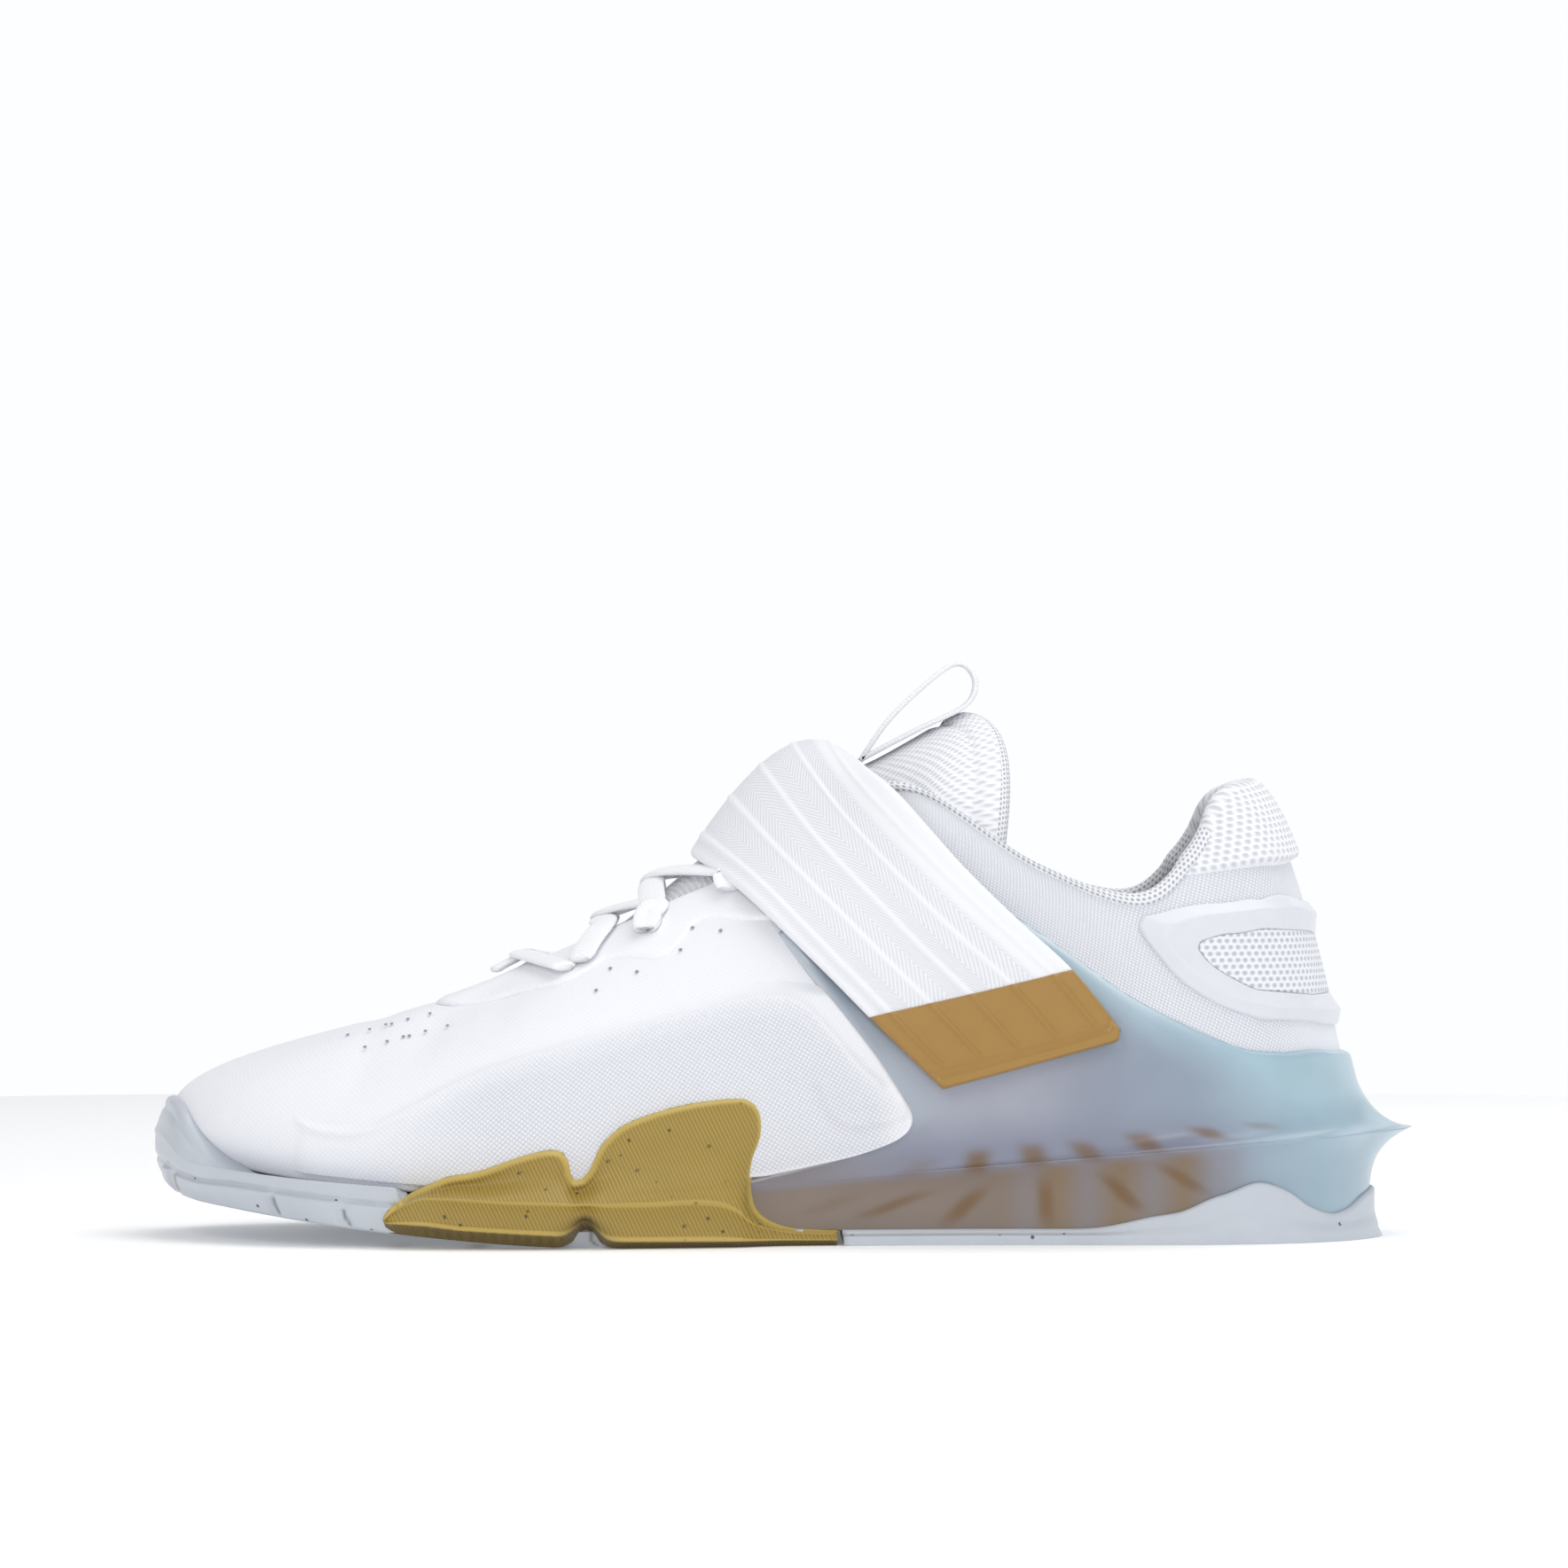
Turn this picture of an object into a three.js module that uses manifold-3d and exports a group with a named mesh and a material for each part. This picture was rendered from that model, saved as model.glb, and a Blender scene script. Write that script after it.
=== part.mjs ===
// A weightlifting shoe for the left foot, standing on its sole on the plane z = 0.
// Millimetres, +Z up. The toe points toward -X and the outer side faces -Y.
import * as THREE from 'three';
import { mergeVertices } from 'three/addons/utils/BufferGeometryUtils.js';
import Module from 'manifold-3d';

const wasm = await Module();
wasm.setup();

// Driving dimensions
const lastLength = 274; // feather line, toe to heel
const ballWidth = 100; // feather line and its swell across the ball
const instepHeight = 100; // scale of every height above the foot bed
const toeStack = 8; // sole under the toes
const forefootStack = 11; // sole under the ball
const heelStack = 26; // sole under the heel
const toeSpring = 10; // lift of the sole at the toe
const clearance = 0.35; // gap between two pieces that touch
const cupClearance = 1.5; // gap inside the rubber cup, where its coarse facets bulge inward

// Walls and thicknesses
const upperWall = 2;
const insoleThickness = 3.5;
const insoleBevel = 1.4;
const tongueThickness = 5;
const rubberPlate = 3;
const bumperLip = 1.1;
const outriggerLip = 2.2;
const outriggerProud = 0.8;
const heelRubberLip = 1.6;
const clipWall = 2.4;
const eyestayWall = 1;
const frameWall = 1.7;
const heelPad = 2.6;
const bindingWall = 1.5;
const bindingDepth = 4.0;
const strapThickness = 2.3;
const strapRib = 0.7;
const strapEndThickness = 2.8;
const grooveWidth = 1.6;
const grooveDepth = 1.5;
const loopWidth = 13;
const laceWidth = 5;
const laceThickness = 2.2;

// Where the sole changes along the length, as shares of the last length from the toe
const springEnd = 0.35;
const wedgeStart = 0.3;
const springPower = 1.6;
const wedgePower = 1.1;

// Where the front rubber ends and the heel rubber begins
const soleSplit = 0.547;
const splitGap = 1.3;

const mix = (a, b, t) => a + (b - a) * t;
const mixPoint = (p, q, t) => p.map((value, axis) => mix(value, q[axis], t));
const add = (p, q, scale = 1) => p.map((value, axis) => value + q[axis] * scale);
const subtract = (p, q) => add(p, q, -1);
const cross = (p, q) => [p[1] * q[2] - p[2] * q[1], p[2] * q[0] - p[0] * q[2], p[0] * q[1] - p[1] * q[0]];
const unit = (p) => p.map((value) => value / Math.hypot(...p));
const clamp = (value, low, high) => Math.min(Math.max(value, low), high);

// Rows of a table become objects that carry the names of the columns
function table(columns, rows) {
  return rows.map((row) => Object.fromEntries(columns.map((name, index) => [name, row[index]])));
}

// A value read between the rows of a table, with the first column as the key
function between(rows, key, column, at) {
  const last = rows.length - 1;
  const next = clamp(rows.findIndex((row) => row[key] > at), 1, last);
  const index = at >= rows[last][key] ? last : next;
  const [low, high] = [rows[index - 1], rows[index]];
  const share = clamp((at - low[key]) / (high[key] - low[key]), 0, 1);
  return mix(low[column], high[column], share * share * (3 - 2 * share));
}

// A height read on straight lines between points
function straightBetween(points, x) {
  const next = Math.max(1, points.findIndex((point) => point.x > x));
  const [low, high] = [points[next - 1], points[next]];
  return mix(low.height, high.height, (x - low.x) / (high.x - low.x));
}

// Floor and foot bed, by the place along the last
const alongLast = (x) => clamp(x / lastLength + 0.5, -0.06, 1.06);
function floorHeight(x) {
  return toeSpring * Math.max(0, (springEnd - alongLast(x)) / springEnd) ** springPower;
}
function stackHeight(x) {
  const along = clamp(alongLast(x), 0, 1);
  const rise = Math.max(0, (along - wedgeStart) / (1 - wedgeStart)) ** wedgePower;
  return along < wedgeStart
    ? mix(toeStack, forefootStack, along / wedgeStart)
    : mix(forefootStack, heelStack, rise);
}
const bedHeight = (x) => floorHeight(x) + stackHeight(x);

// The last. A station is a cubic from the feather line over the belly and the shoulder to the top line.
// x: share of the last length. rise: share of the instep height above the bed.
// outer and inner: share of the ball width from the middle plane.
const stations = table(
  ['xFeather', 'xBelly', 'xShoulder', 'xTop', 'riseBelly', 'riseShoulder', 'riseTop',
    'outerFeather', 'outerBelly', 'outerShoulder', 'outerTop',
    'innerFeather', 'innerBelly', 'innerShoulder', 'innerTop'],
  [
    [-0.500, -0.638, -0.319, -0.223, 0.231, 0.348, 0.53, -0.05, -0.05, -0.02, -0.01, 0.05, 0.05, 0.02, 0.01],
    [-0.474, -0.559, -0.340, -0.219, 0.19, 0.343, 0.532, 0.22, 0.30, 0.22, 0.05, 0.25, 0.32, 0.24, 0.06],
    [-0.387, -0.411, -0.312, -0.208, 0.162, 0.33, 0.543, 0.42, 0.50, 0.34, 0.09, 0.425, 0.49, 0.34, 0.09],
    [-0.245, -0.248, -0.215, -0.164, 0.212, 0.455, 0.592, 0.50, 0.58, 0.42, 0.13, 0.465, 0.53, 0.40, 0.13],
    [-0.113, -0.113, -0.113, -0.099, 0.225, 0.525, 0.662, 0.46, 0.55, 0.43, 0.17, 0.40, 0.49, 0.41, 0.17],
    [0.015, 0.011, -0.004, -0.026, 0.24, 0.603, 0.737, 0.39, 0.49, 0.43, 0.19, 0.31, 0.44, 0.42, 0.19],
    [0.135, 0.128, 0.099, 0.047, 0.245, 0.671, 0.852, 0.35, 0.45, 0.43, 0.22, 0.285, 0.42, 0.41, 0.22],
    [0.223, 0.215, 0.172, 0.109, 0.246, 0.665, 0.894, 0.345, 0.43, 0.42, 0.29, 0.305, 0.41, 0.41, 0.29],
    [0.303, 0.296, 0.259, 0.208, 0.227, 0.551, 0.701, 0.35, 0.41, 0.40, 0.33, 0.33, 0.41, 0.39, 0.325],
    [0.372, 0.363, 0.328, 0.301, 0.202, 0.439, 0.59, 0.335, 0.39, 0.38, 0.335, 0.325, 0.39, 0.37, 0.33],
    [0.431, 0.417, 0.392, 0.3485, 0.172, 0.49, 0.67, 0.28, 0.33, 0.33, 0.275, 0.275, 0.33, 0.325, 0.27],
    [0.478, 0.461, 0.437, 0.3815, 0.165, 0.685, 0.798, 0.165, 0.20, 0.21, 0.175, 0.165, 0.20, 0.21, 0.17],
    [0.500, 0.484, 0.450, 0.409, 0.183, 0.71, 0.821, 0, 0, 0, 0, 0, 0, 0, 0],
  ],
);
const heelStation = stations.length - 1;
const loopStations = 2 * heelStation;

// The four control points of one station, on the outer or the inner side of the foot
function stationPoints(row, side) {
  const sign = side === 'outer' ? -1 : 1;
  const at = (xShare, rise, name) => {
    const x = row[xShare] * lastLength;
    return [x, sign * row[side + name] * ballWidth, bedHeight(x) + rise * instepHeight];
  };
  return [
    at('xFeather', 0, 'Feather'),
    at('xBelly', row.riseBelly, 'Belly'),
    at('xShoulder', row.riseShoulder, 'Shoulder'),
    at('xTop', row.riseTop, 'Top'),
  ];
}

// All stations once round the foot: toe, outer side, heel, inner side
const loopRows = Array.from({ length: loopStations }, (_, index) => (index <= heelStation
  ? stationPoints(stations[index], 'outer')
  : stationPoints(stations[loopStations - index], 'inner')));

function smoothBetween(a, b, c, d, t) {
  return 0.5 * (2 * b + (c - a) * t + (2 * a - 5 * b + 4 * c - d) * t * t + (3 * b - a - 3 * c + d) * t ** 3);
}

function controlsAt(station) {
  const wrapped = ((station % loopStations) + loopStations) % loopStations;
  const index = Math.floor(wrapped);
  const four = [-1, 0, 1, 2].map((step) => loopRows[(index + step + loopStations) % loopStations]);
  return four[0].map((_, knot) => four[0][knot].map((_value, axis) => smoothBetween(
    four[0][knot][axis], four[1][knot][axis], four[2][knot][axis], four[3][knot][axis], wrapped - index,
  )));
}

// The outer face of the upper: station round the foot, level 0 at the feather line and 1 at the top line
function lastPoint(station, level) {
  const low = 1 - level;
  const weights = [low ** 3, 3 * low * low * level, 3 * low * level * level, level ** 3];
  const controls = controlsAt(station);
  return [0, 1, 2].map((axis) => controls.reduce((sum, point, knot) => sum + point[axis] * weights[knot], 0));
}

function lastNormal(station, level) {
  const step = 0.01;
  const across = subtract(lastPoint(station + step, level), lastPoint(station - step, level));
  const low = clamp(level - step, 0, 1);
  const high = clamp(level + step, 0, 1);
  return unit(cross(across, subtract(lastPoint(station, high), lastPoint(station, low))));
}

// A point set off from the outer face of the upper, outward where the offset is positive
function skin(station, level, offset) {
  return add(lastPoint(station, level), lastNormal(station, level), offset);
}

// The level at which the upper reaches a height
function levelAt(station, height) {
  let [low, high] = [0, 1];
  for (let pass = 0; pass < 24; pass += 1) {
    const middle = (low + high) / 2;
    if (lastPoint(station, middle)[2] < height) low = middle;
    else high = middle;
  }
  return (low + high) / 2;
}

// A point at a reach outside the feather line, seen from above, at a height of its own
function aroundFeather(station, reach, height) {
  const step = 0.01;
  const [dx, dy] = subtract(lastPoint(station + step, 0), lastPoint(station - step, 0));
  const [x, y] = lastPoint(station, 0);
  const length = Math.hypot(dx, dy);
  return [x + (dy / length) * reach, y - (dx / length) * reach, height];
}

// Meshes from points
function meshFrom(points, triangles) {
  const raw = new THREE.BufferGeometry();
  raw.setAttribute('position', new THREE.Float32BufferAttribute(points.flat(), 3));
  raw.setIndex(triangles.flat());
  const merged = mergeVertices(raw, 0.002);
  const index = Array.from(merged.index.array);
  const kept = [];
  for (let i = 0; i < index.length; i += 3) {
    const [a, b, c] = index.slice(i, i + 3);
    if (a !== b && b !== c && c !== a) kept.push(a, b, c);
  }
  merged.setIndex(volumeOf(merged, kept) < 0 ? kept.reverse() : kept);
  return merged;
}

function volumeOf(geometry, index) {
  const corner = new THREE.Vector3();
  const next = new THREE.Vector3();
  const last = new THREE.Vector3();
  let volume = 0;
  for (let i = 0; i < index.length; i += 3) {
    corner.fromBufferAttribute(geometry.attributes.position, index[i]);
    next.fromBufferAttribute(geometry.attributes.position, index[i + 1]);
    last.fromBufferAttribute(geometry.attributes.position, index[i + 2]);
    volume += corner.dot(next.cross(last)) / 6;
  }
  return volume;
}

const quad = (a, b, c, d) => [[a, b, c], [a, c, d]];

// Closed sections, swept round a closed loop
function ringSolid(sections) {
  const size = sections[0].length;
  const triangles = sections.flatMap((_, i) => {
    const next = (i + 1) % sections.length;
    return sections[0].flatMap((_point, j) => {
      const up = (j + 1) % size;
      return quad(i * size + j, next * size + j, next * size + up, i * size + up);
    });
  });
  return meshFrom(sections.flat(), triangles);
}

// Open sections round a closed loop, whose first and last points lie on a shared spine
function pillowSolid(sections) {
  const size = sections[0].length;
  const triangles = sections.flatMap((_, i) => {
    const next = (i + 1) % sections.length;
    return sections[0].slice(1).flatMap((_point, j) => (
      quad(i * size + j, next * size + j, next * size + j + 1, i * size + j + 1)));
  });
  return meshFrom(sections.flat(), triangles);
}

// Closed sections in a row, with a flat cap on each end that joins the two halves of the section
function capsuleSolid(sections) {
  const size = sections[0].length;
  const half = size / 2;
  const walls = sections.slice(1).flatMap((_, i) => sections[0].flatMap((_point, j) => {
    const up = (j + 1) % size;
    return quad(i * size + j, (i + 1) * size + j, (i + 1) * size + up, i * size + up);
  }));
  const cap = (base, turned) => Array.from({ length: half - 1 }, (_, j) => {
    const corners = [base + j, base + j + 1, base + size - 2 - j, base + size - 1 - j];
    return turned ? quad(...corners.reverse()) : quad(...corners);
  }).flat();
  const end = (sections.length - 1) * size;
  return meshFrom(sections.flat(), [...walls, ...cap(0, false), ...cap(end, true)]);
}

const steps = (count) => Array.from({ length: count + 1 }, (_, index) => index / count);

// Stations for a mesh that runs all round the foot
const loopSteps = 60;
const loopAt = Array.from({ length: loopSteps }, (_, index) => (index * loopStations) / loopSteps);

// The middle of the foot seen from above, at a station and its partner across the foot
const spineInset = 0.9;
function spineAt(station) {
  const outer = station <= heelStation ? station : loopStations - station;
  const held = clamp(outer, spineInset, heelStation - spineInset);
  return mixPoint(lastPoint(held, 0), lastPoint(loopStations - held, 0), 0.5);
}

// Boolean work
function toSolid(geometry) {
  return new wasm.Manifold(new wasm.Mesh({
    numProp: 3,
    vertProperties: new Float32Array(geometry.attributes.position.array),
    triVerts: new Uint32Array(geometry.index.array),
  }));
}

// The cut solid as a geometry, without the slivers that the cuts leave
const sliver = 0.02;
function cutGeometry(solid) {
  const mesh = solid.simplify(sliver).getMesh();
  const geometry = new THREE.BufferGeometry();
  geometry.setAttribute('position', new THREE.BufferAttribute(mesh.vertProperties, 3));
  geometry.setIndex(new THREE.BufferAttribute(mesh.triVerts, 1));
  return geometry;
}

function plainGeometry(geometry) {
  geometry.deleteAttribute('normal');
  geometry.deleteAttribute('uv');
  return mergeVertices(geometry, 0.002);
}

// An outline in the side view, given as shares of the last length and of the instep height above the bed
function sidePoint([xShare, rise]) {
  const x = xShare * lastLength;
  return new THREE.Vector2(x, bedHeight(x) + rise * instepHeight);
}

const prismHalfWidth = ballWidth;

// A side view outline pushed across the shoe. Its curved runs are splines, its corners are kept.
function sidePrism(runs, holes = [], from = -prismHalfWidth, to = prismHalfWidth) {
  const trace = (path, list) => list.forEach((run, index) => {
    const points = run.map(sidePoint);
    if (index === 0) path.moveTo(points[0].x, points[0].y);
    else path.lineTo(points[0].x, points[0].y);
    if (points.length > 2) path.splineThru(points.slice(1));
    else if (points.length === 2) path.lineTo(points[1].x, points[1].y);
  });
  const shape = new THREE.Shape();
  trace(shape, runs);
  holes.forEach((hole) => {
    const path = new THREE.Path();
    trace(path, hole);
    shape.holes.push(path);
  });
  const settings = { depth: to - from, bevelEnabled: false, curveSegments: 2 };
  const geometry = new THREE.ExtrudeGeometry(shape, settings);
  geometry.rotateX(Math.PI / 2);
  geometry.translate(0, to, 0);
  return toSolid(plainGeometry(geometry));
}

// Levels of the upper's mesh. Every form that lies on the upper keeps to them, so that facets run parallel.
const levelSteps = 9;
const upperLevels = steps(levelSteps);
const levelsBetween = (low, high) => upperLevels.filter((level) => level >= low && level <= high);

// A wall that follows the upper between two offsets, over a range of levels
function wallForm(inside, outside, lowLevel, highLevel) {
  const levels = levelsBetween(lowLevel, highLevel);
  const sections = loopAt.map((station) => [
    ...levels.map((level) => skin(station, level, inside)),
    ...levels.slice().reverse().map((level) => skin(station, level, outside)),
  ]);
  return toSolid(ringSolid(sections));
}

// Upper: one wall, open at the collar and throat and underneath
function upper() {
  const sections = loopAt.map((station) => [
    ...upperLevels.map((level) => skin(station, level, 0)),
    ...upperLevels.slice().reverse().map((level) => skin(station, level, -upperWall)),
  ]);
  return ringSolid(sections);
}

// Insole: a plain pad on the bed, inside the upper
function insole() {
  const inset = upperWall + 2 * clearance;
  const lift = clearance;
  const sections = loopAt.map((station) => {
    const rim = aroundFeather(station, -inset, 0);
    const spine = spineAt(station);
    const brim = aroundFeather(station, -inset - insoleBevel, 0);
    const half = mixPoint(rim, spine, 0.5);
    const on = ([x, y], height) => [x, y, bedHeight(x) + height];
    const top = lift + insoleThickness;
    return [on(spine, top), on(half, top), on(brim, top), on(rim, lift), on(half, lift), on(spine, lift)];
  });
  return pillowSolid(sections);
}

// How far the sole's sides reach outside the feather line, as shares of the ball width.
// ridge: top edge of the midsole. waist: its narrowest level. foot: its lower edge.
// belly: widest level of the rubber. ground: the rubber's edge on the floor.
// bumper: top of the front rubber, as a rise above the bed.
const soleColumns = ['station', 'ridge', 'waist', 'foot', 'belly', 'ground', 'bumper'];
const soleOuter = table(soleColumns, [
  [0, 0, 0, 0, 0.13, 0.07, 0.145],
  [0.8, 0, 0, 0, 0.115, 0.06, 0.115],
  [1.3, 0, 0, 0, 0.085, 0.045, 0.03],
  [2, 0, 0, 0, 0.07, 0.035, 0.03],
  [2.3, 0, 0, 0, 0.07, 0.04, 0.032],
  [2.6, 0, 0, 0, 0.075, 0.045, 0.10],
  [3.1, 0.003, 0.003, 0.003, 0.08, 0.06, 0.18],
  [3.6, 0.005, 0.005, 0.005, 0.085, 0.07, 0.24],
  [4.9, 0.015, 0.01, 0.01, 0.085, 0.06, 0.24],
  [5.4, 0.03, 0.012, 0.012, 0.05, 0.045, -0.105],
  [6.5, 0.05, 0.018, 0.015, 0.045, 0.045, -0.13],
  [9, 0.065, 0.025, 0.02, 0.045, 0.045, -0.17],
  [11, 0.085, 0.03, 0.022, 0.05, 0.055, -0.17],
  [12, 0.13, 0.035, 0.025, 0.05, 0.06, -0.17],
]);
const soleInner = table(soleColumns, [
  [0, 0, 0, 0, 0.13, 0.07, 0.145],
  [0.8, 0, 0, 0, 0.115, 0.06, 0.12],
  [1.3, 0, 0, 0, 0.085, 0.045, 0.05],
  [2, 0, 0, 0, 0.07, 0.035, 0.05],
  [3.4, 0, 0, 0, 0.065, 0.03, 0.09],
  [4.1, 0.005, 0.005, 0.005, 0.065, 0.035, 0.05],
  [4.65, 0.012, 0.01, 0.01, 0.06, 0.04, -0.05],
  [5.4, 0.03, 0.012, 0.012, 0.05, 0.045, -0.105],
  [6.5, 0.05, 0.018, 0.015, 0.045, 0.045, -0.13],
  [9, 0.065, 0.025, 0.02, 0.045, 0.045, -0.17],
  [11, 0.085, 0.03, 0.022, 0.05, 0.055, -0.17],
  [12, 0.13, 0.035, 0.025, 0.05, 0.06, -0.17],
]);

// One named width of the sole, at a place round the foot
function soleAt(station, column) {
  if (station <= heelStation) return between(soleOuter, 'station', column, station);
  return between(soleInner, 'station', column, loopStations - station);
}
const reachAt = (station, column) => soleAt(station, column) * ballWidth;

// The reach of the midsole's side at a height between its lower and upper edge
function midsoleReach(station, share) {
  const [foot, waist, ridge] = ['foot', 'waist', 'ridge'].map((column) => reachAt(station, column));
  return mix(foot, waist, share) + (ridge - waist) * share ** 5;
}

const midsoleFoot = (x) => floorHeight(x) + rubberPlate + clearance;
const midsoleTop = (x) => bedHeight(x) - clearance;

// Midsole: a thin plate under the toes that becomes the heel wedge, with a sharp ridge round its top
function midsole() {
  const sections = loopAt.map((station) => {
    const spine = spineAt(station);
    const side = [1, 0.9, 0.7, 0.4, 0].map((share) => {
      const [x, y] = aroundFeather(station, midsoleReach(station, share), 0);
      return [x, y, mix(midsoleFoot(x), midsoleTop(x), share)];
    });
    return [[spine[0], spine[1], midsoleTop(spine[0])], ...side, [spine[0], spine[1], midsoleFoot(spine[0])]];
  });
  return pillowSolid(sections);
}

// The front rubber and the outrigger share this form: a cup that climbs from the floor over the upper's side.
// grow: extra reach of its outer face. lip: its thickness at the top edge.
function cupForm(lip, grow) {
  const sections = loopAt.map((station) => {
    const spine = spineAt(station);
    const [x] = lastPoint(station, 0);
    const rise = soleAt(station, 'bumper') * instepHeight;
    const overBed = rise > 0;
    const topHeight = bedHeight(x) + rise;
    const topLevel = overBed ? levelAt(station, topHeight) : 0;
    const inner = (share) => {
      const height = mix(midsoleFoot(x) - clearance, overBed ? bedHeight(x) : topHeight, share);
      const own = clamp((height - midsoleFoot(x)) / (midsoleTop(x) - midsoleFoot(x)), 0, 1);
      return aroundFeather(station, midsoleReach(station, own) + clearance, height);
    };
    const over = (share, offset) => (overBed
      ? skin(station, topLevel * share, offset)
      : aroundFeather(station, midsoleReach(station, 0) + offset, topHeight));
    const outer = (column, height) => aroundFeather(station, reachAt(station, column) + grow, height);
    const bellyHeight = mix(floorHeight(x), overBed ? bedHeight(x) : topHeight, overBed ? 1.1 : 0.8);
    const rim = over(1, clearance + lip);
    const ground = outer('ground', floorHeight(x));
    const belly = outer('belly', bellyHeight);
    const swell = mixPoint(rim, belly, 0.5);
    const out = subtract(belly, aroundFeather(station, 0, bellyHeight));
    return [
      [spine[0], spine[1], midsoleFoot(spine[0]) - clearance],
      inner(0),
      inner(0.97),
      over(0.3, cupClearance),
      over(0.65, cupClearance),
      over(1, 2 * clearance),
      rim,
      add(swell, out, overBed ? 0.09 : 0),
      belly,
      add(mixPoint(belly, ground, 0.55), out, 0.1),
      ground,
      [spine[0], spine[1], floorHeight(spine[0])],
    ];
  });
  return toSolid(pillowSolid(sections));
}

const splitX = (soleSplit - 0.5) * lastLength;
const farAway = 2 * lastLength;

// A block that fills a range of x and y, and all heights
function block(xFrom, xTo, yFrom, yTo) {
  const geometry = new THREE.BoxGeometry(xTo - xFrom, yTo - yFrom, farAway);
  geometry.translate((xFrom + xTo) / 2, (yFrom + yTo) / 2, 0);
  return toSolid(plainGeometry(geometry));
}

// Outer side outline of the outrigger, from its tip over the two humps and down to its tail under the wedge
const outriggerTop = [
  [[-0.342, -0.3], [-0.342, -0.045]],
  [[-0.329, -0.004], [-0.303, 0.026], [-0.273, 0.064], [-0.243, 0.092], [-0.213, 0.112], [-0.194, 0.12]],
  [[-0.183, 0.11], [-0.177, 0.056]],
  [[-0.168, 0.08], [-0.153, 0.137], [-0.134, 0.176], [-0.108, 0.205], [-0.07, 0.226], [-0.04, 0.23]],
  [[-0.024, 0.212], [-0.0164, 0.172], [-0.018, 0.12], [-0.026, 0.05], [-0.025, 0.005], [-0.012, -0.045],
    [0.012, -0.09], [0.05, -0.105]],
  [[0.05, -0.3]],
];
const outriggerInside = -0.34 * ballWidth;
const outriggerNotch = [[[-0.2, -0.3], [-0.2, -0.115]], [[-0.187, -0.07], [-0.167, -0.055], [-0.15, -0.075]],
  [[-0.138, -0.12], [-0.138, -0.3]]];

// Outrigger: the outer side's wrap, with two humps over the upper and a tail under the wedge
function outrigger() {
  const side = sidePrism(outriggerTop, [], -prismHalfWidth, outriggerInside);
  const notch = sidePrism(outriggerNotch, [], -prismHalfWidth, -0.51 * ballWidth);
  return cutGeometry(cupForm(outriggerLip, outriggerProud).intersect(side).subtract(notch));
}

// Cuts cross grooves in a tread, which leave notches in its edge.
// at: places along the last. from: the grooves' outer end, as a share of the ball width.
function cutTread(tread, columns) {
  return columns.reduce((solid, { at, from }) => {
    const x = (at - 0.5) * lastLength;
    const geometry = new THREE.BoxGeometry(grooveWidth, (1 - from) * ballWidth, 2 * grooveDepth);
    geometry.translate(x, ((1 + from) / 2) * ballWidth, floorHeight(x));
    return solid.subtract(toSolid(plainGeometry(geometry)));
  }, tread);
}

// Front rubber: the cup under the forefoot, cut away beside the outrigger
const frontGrooves = table(['at', 'from'], [
  [0.06, -1], [0.115, -1], [0.175, -1], [0.24, -1], [0.31, -0.3], [0.38, -0.3], [0.45, -0.3],
]);
const outriggerFront = -0.342;
function outsoleFront() {
  const cut = block(-farAway, splitX, -farAway, farAway);
  const beside = sidePrism([
    [[outriggerFront - 0.0015, -0.3], [outriggerFront - 0.0015, -0.04], [-0.3305, -0.002], [-0.31, 0.025]],
    [[-0.31, 1], [0.06, 1]],
    [[0.06, -0.3]],
  ], [], -farAway, outriggerInside + clearance);
  return cutGeometry(cutTread(cupForm(bumperLip, 0).intersect(cut).subtract(beside), frontGrooves));
}

// Top edge of the heel rubber, as a share of the heel stack: a thin line with one wave near the back
const heelWave = table(['station', 'rise'], [
  [0, 0.127], [7.8, 0.138], [8.6, 0.308], [9.3, 0.485], [9.75, 0.577], [10.2, 0.485], [10.7, 0.215],
  [11.3, 0.162], [12, 0.323],
]);
const heelRubberRise = 0.3; // least height of that edge over the rubber's plate
const heelGrooves = table(['at', 'from'], [[0.6, -1], [0.68, -1], [0.76, -1], [0.84, -1], [0.92, -1]]);

function outsoleHeel() {
  const sections = loopAt.map((station) => {
    const spine = spineAt(station);
    const along = station <= heelStation ? station : loopStations - station;
    const [x] = lastPoint(station, 0);
    const wave = between(heelWave, 'station', 'rise', along) * heelStack;
    const topHeight = Math.max(wave, rubberPlate + heelRubberRise);
    const reach = (height) => {
      const share = clamp((height - midsoleFoot(x)) / (midsoleTop(x) - midsoleFoot(x)), 0, 1);
      return midsoleReach(station, share) + clearance;
    };
    const inner = (height) => aroundFeather(station, reach(height), height);
    const middle = mix(rubberPlate, topHeight, 0.5);
    return [
      [spine[0], spine[1], rubberPlate],
      inner(rubberPlate),
      inner(middle),
      inner(topHeight),
      aroundFeather(station, reach(topHeight) + heelRubberLip * 0.6, topHeight),
      aroundFeather(station, reach(middle) + heelRubberLip, middle),
      aroundFeather(station, reachAt(station, 'belly'), rubberPlate * 0.7),
      aroundFeather(station, reachAt(station, 'ground'), 0),
      [spine[0], spine[1], 0],
    ];
  });
  const cut = block(splitX + splitGap, farAway, -farAway, farAway);
  return cutGeometry(cutTread(toSolid(pillowSolid(sections)).intersect(cut), heelGrooves));
}

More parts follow.
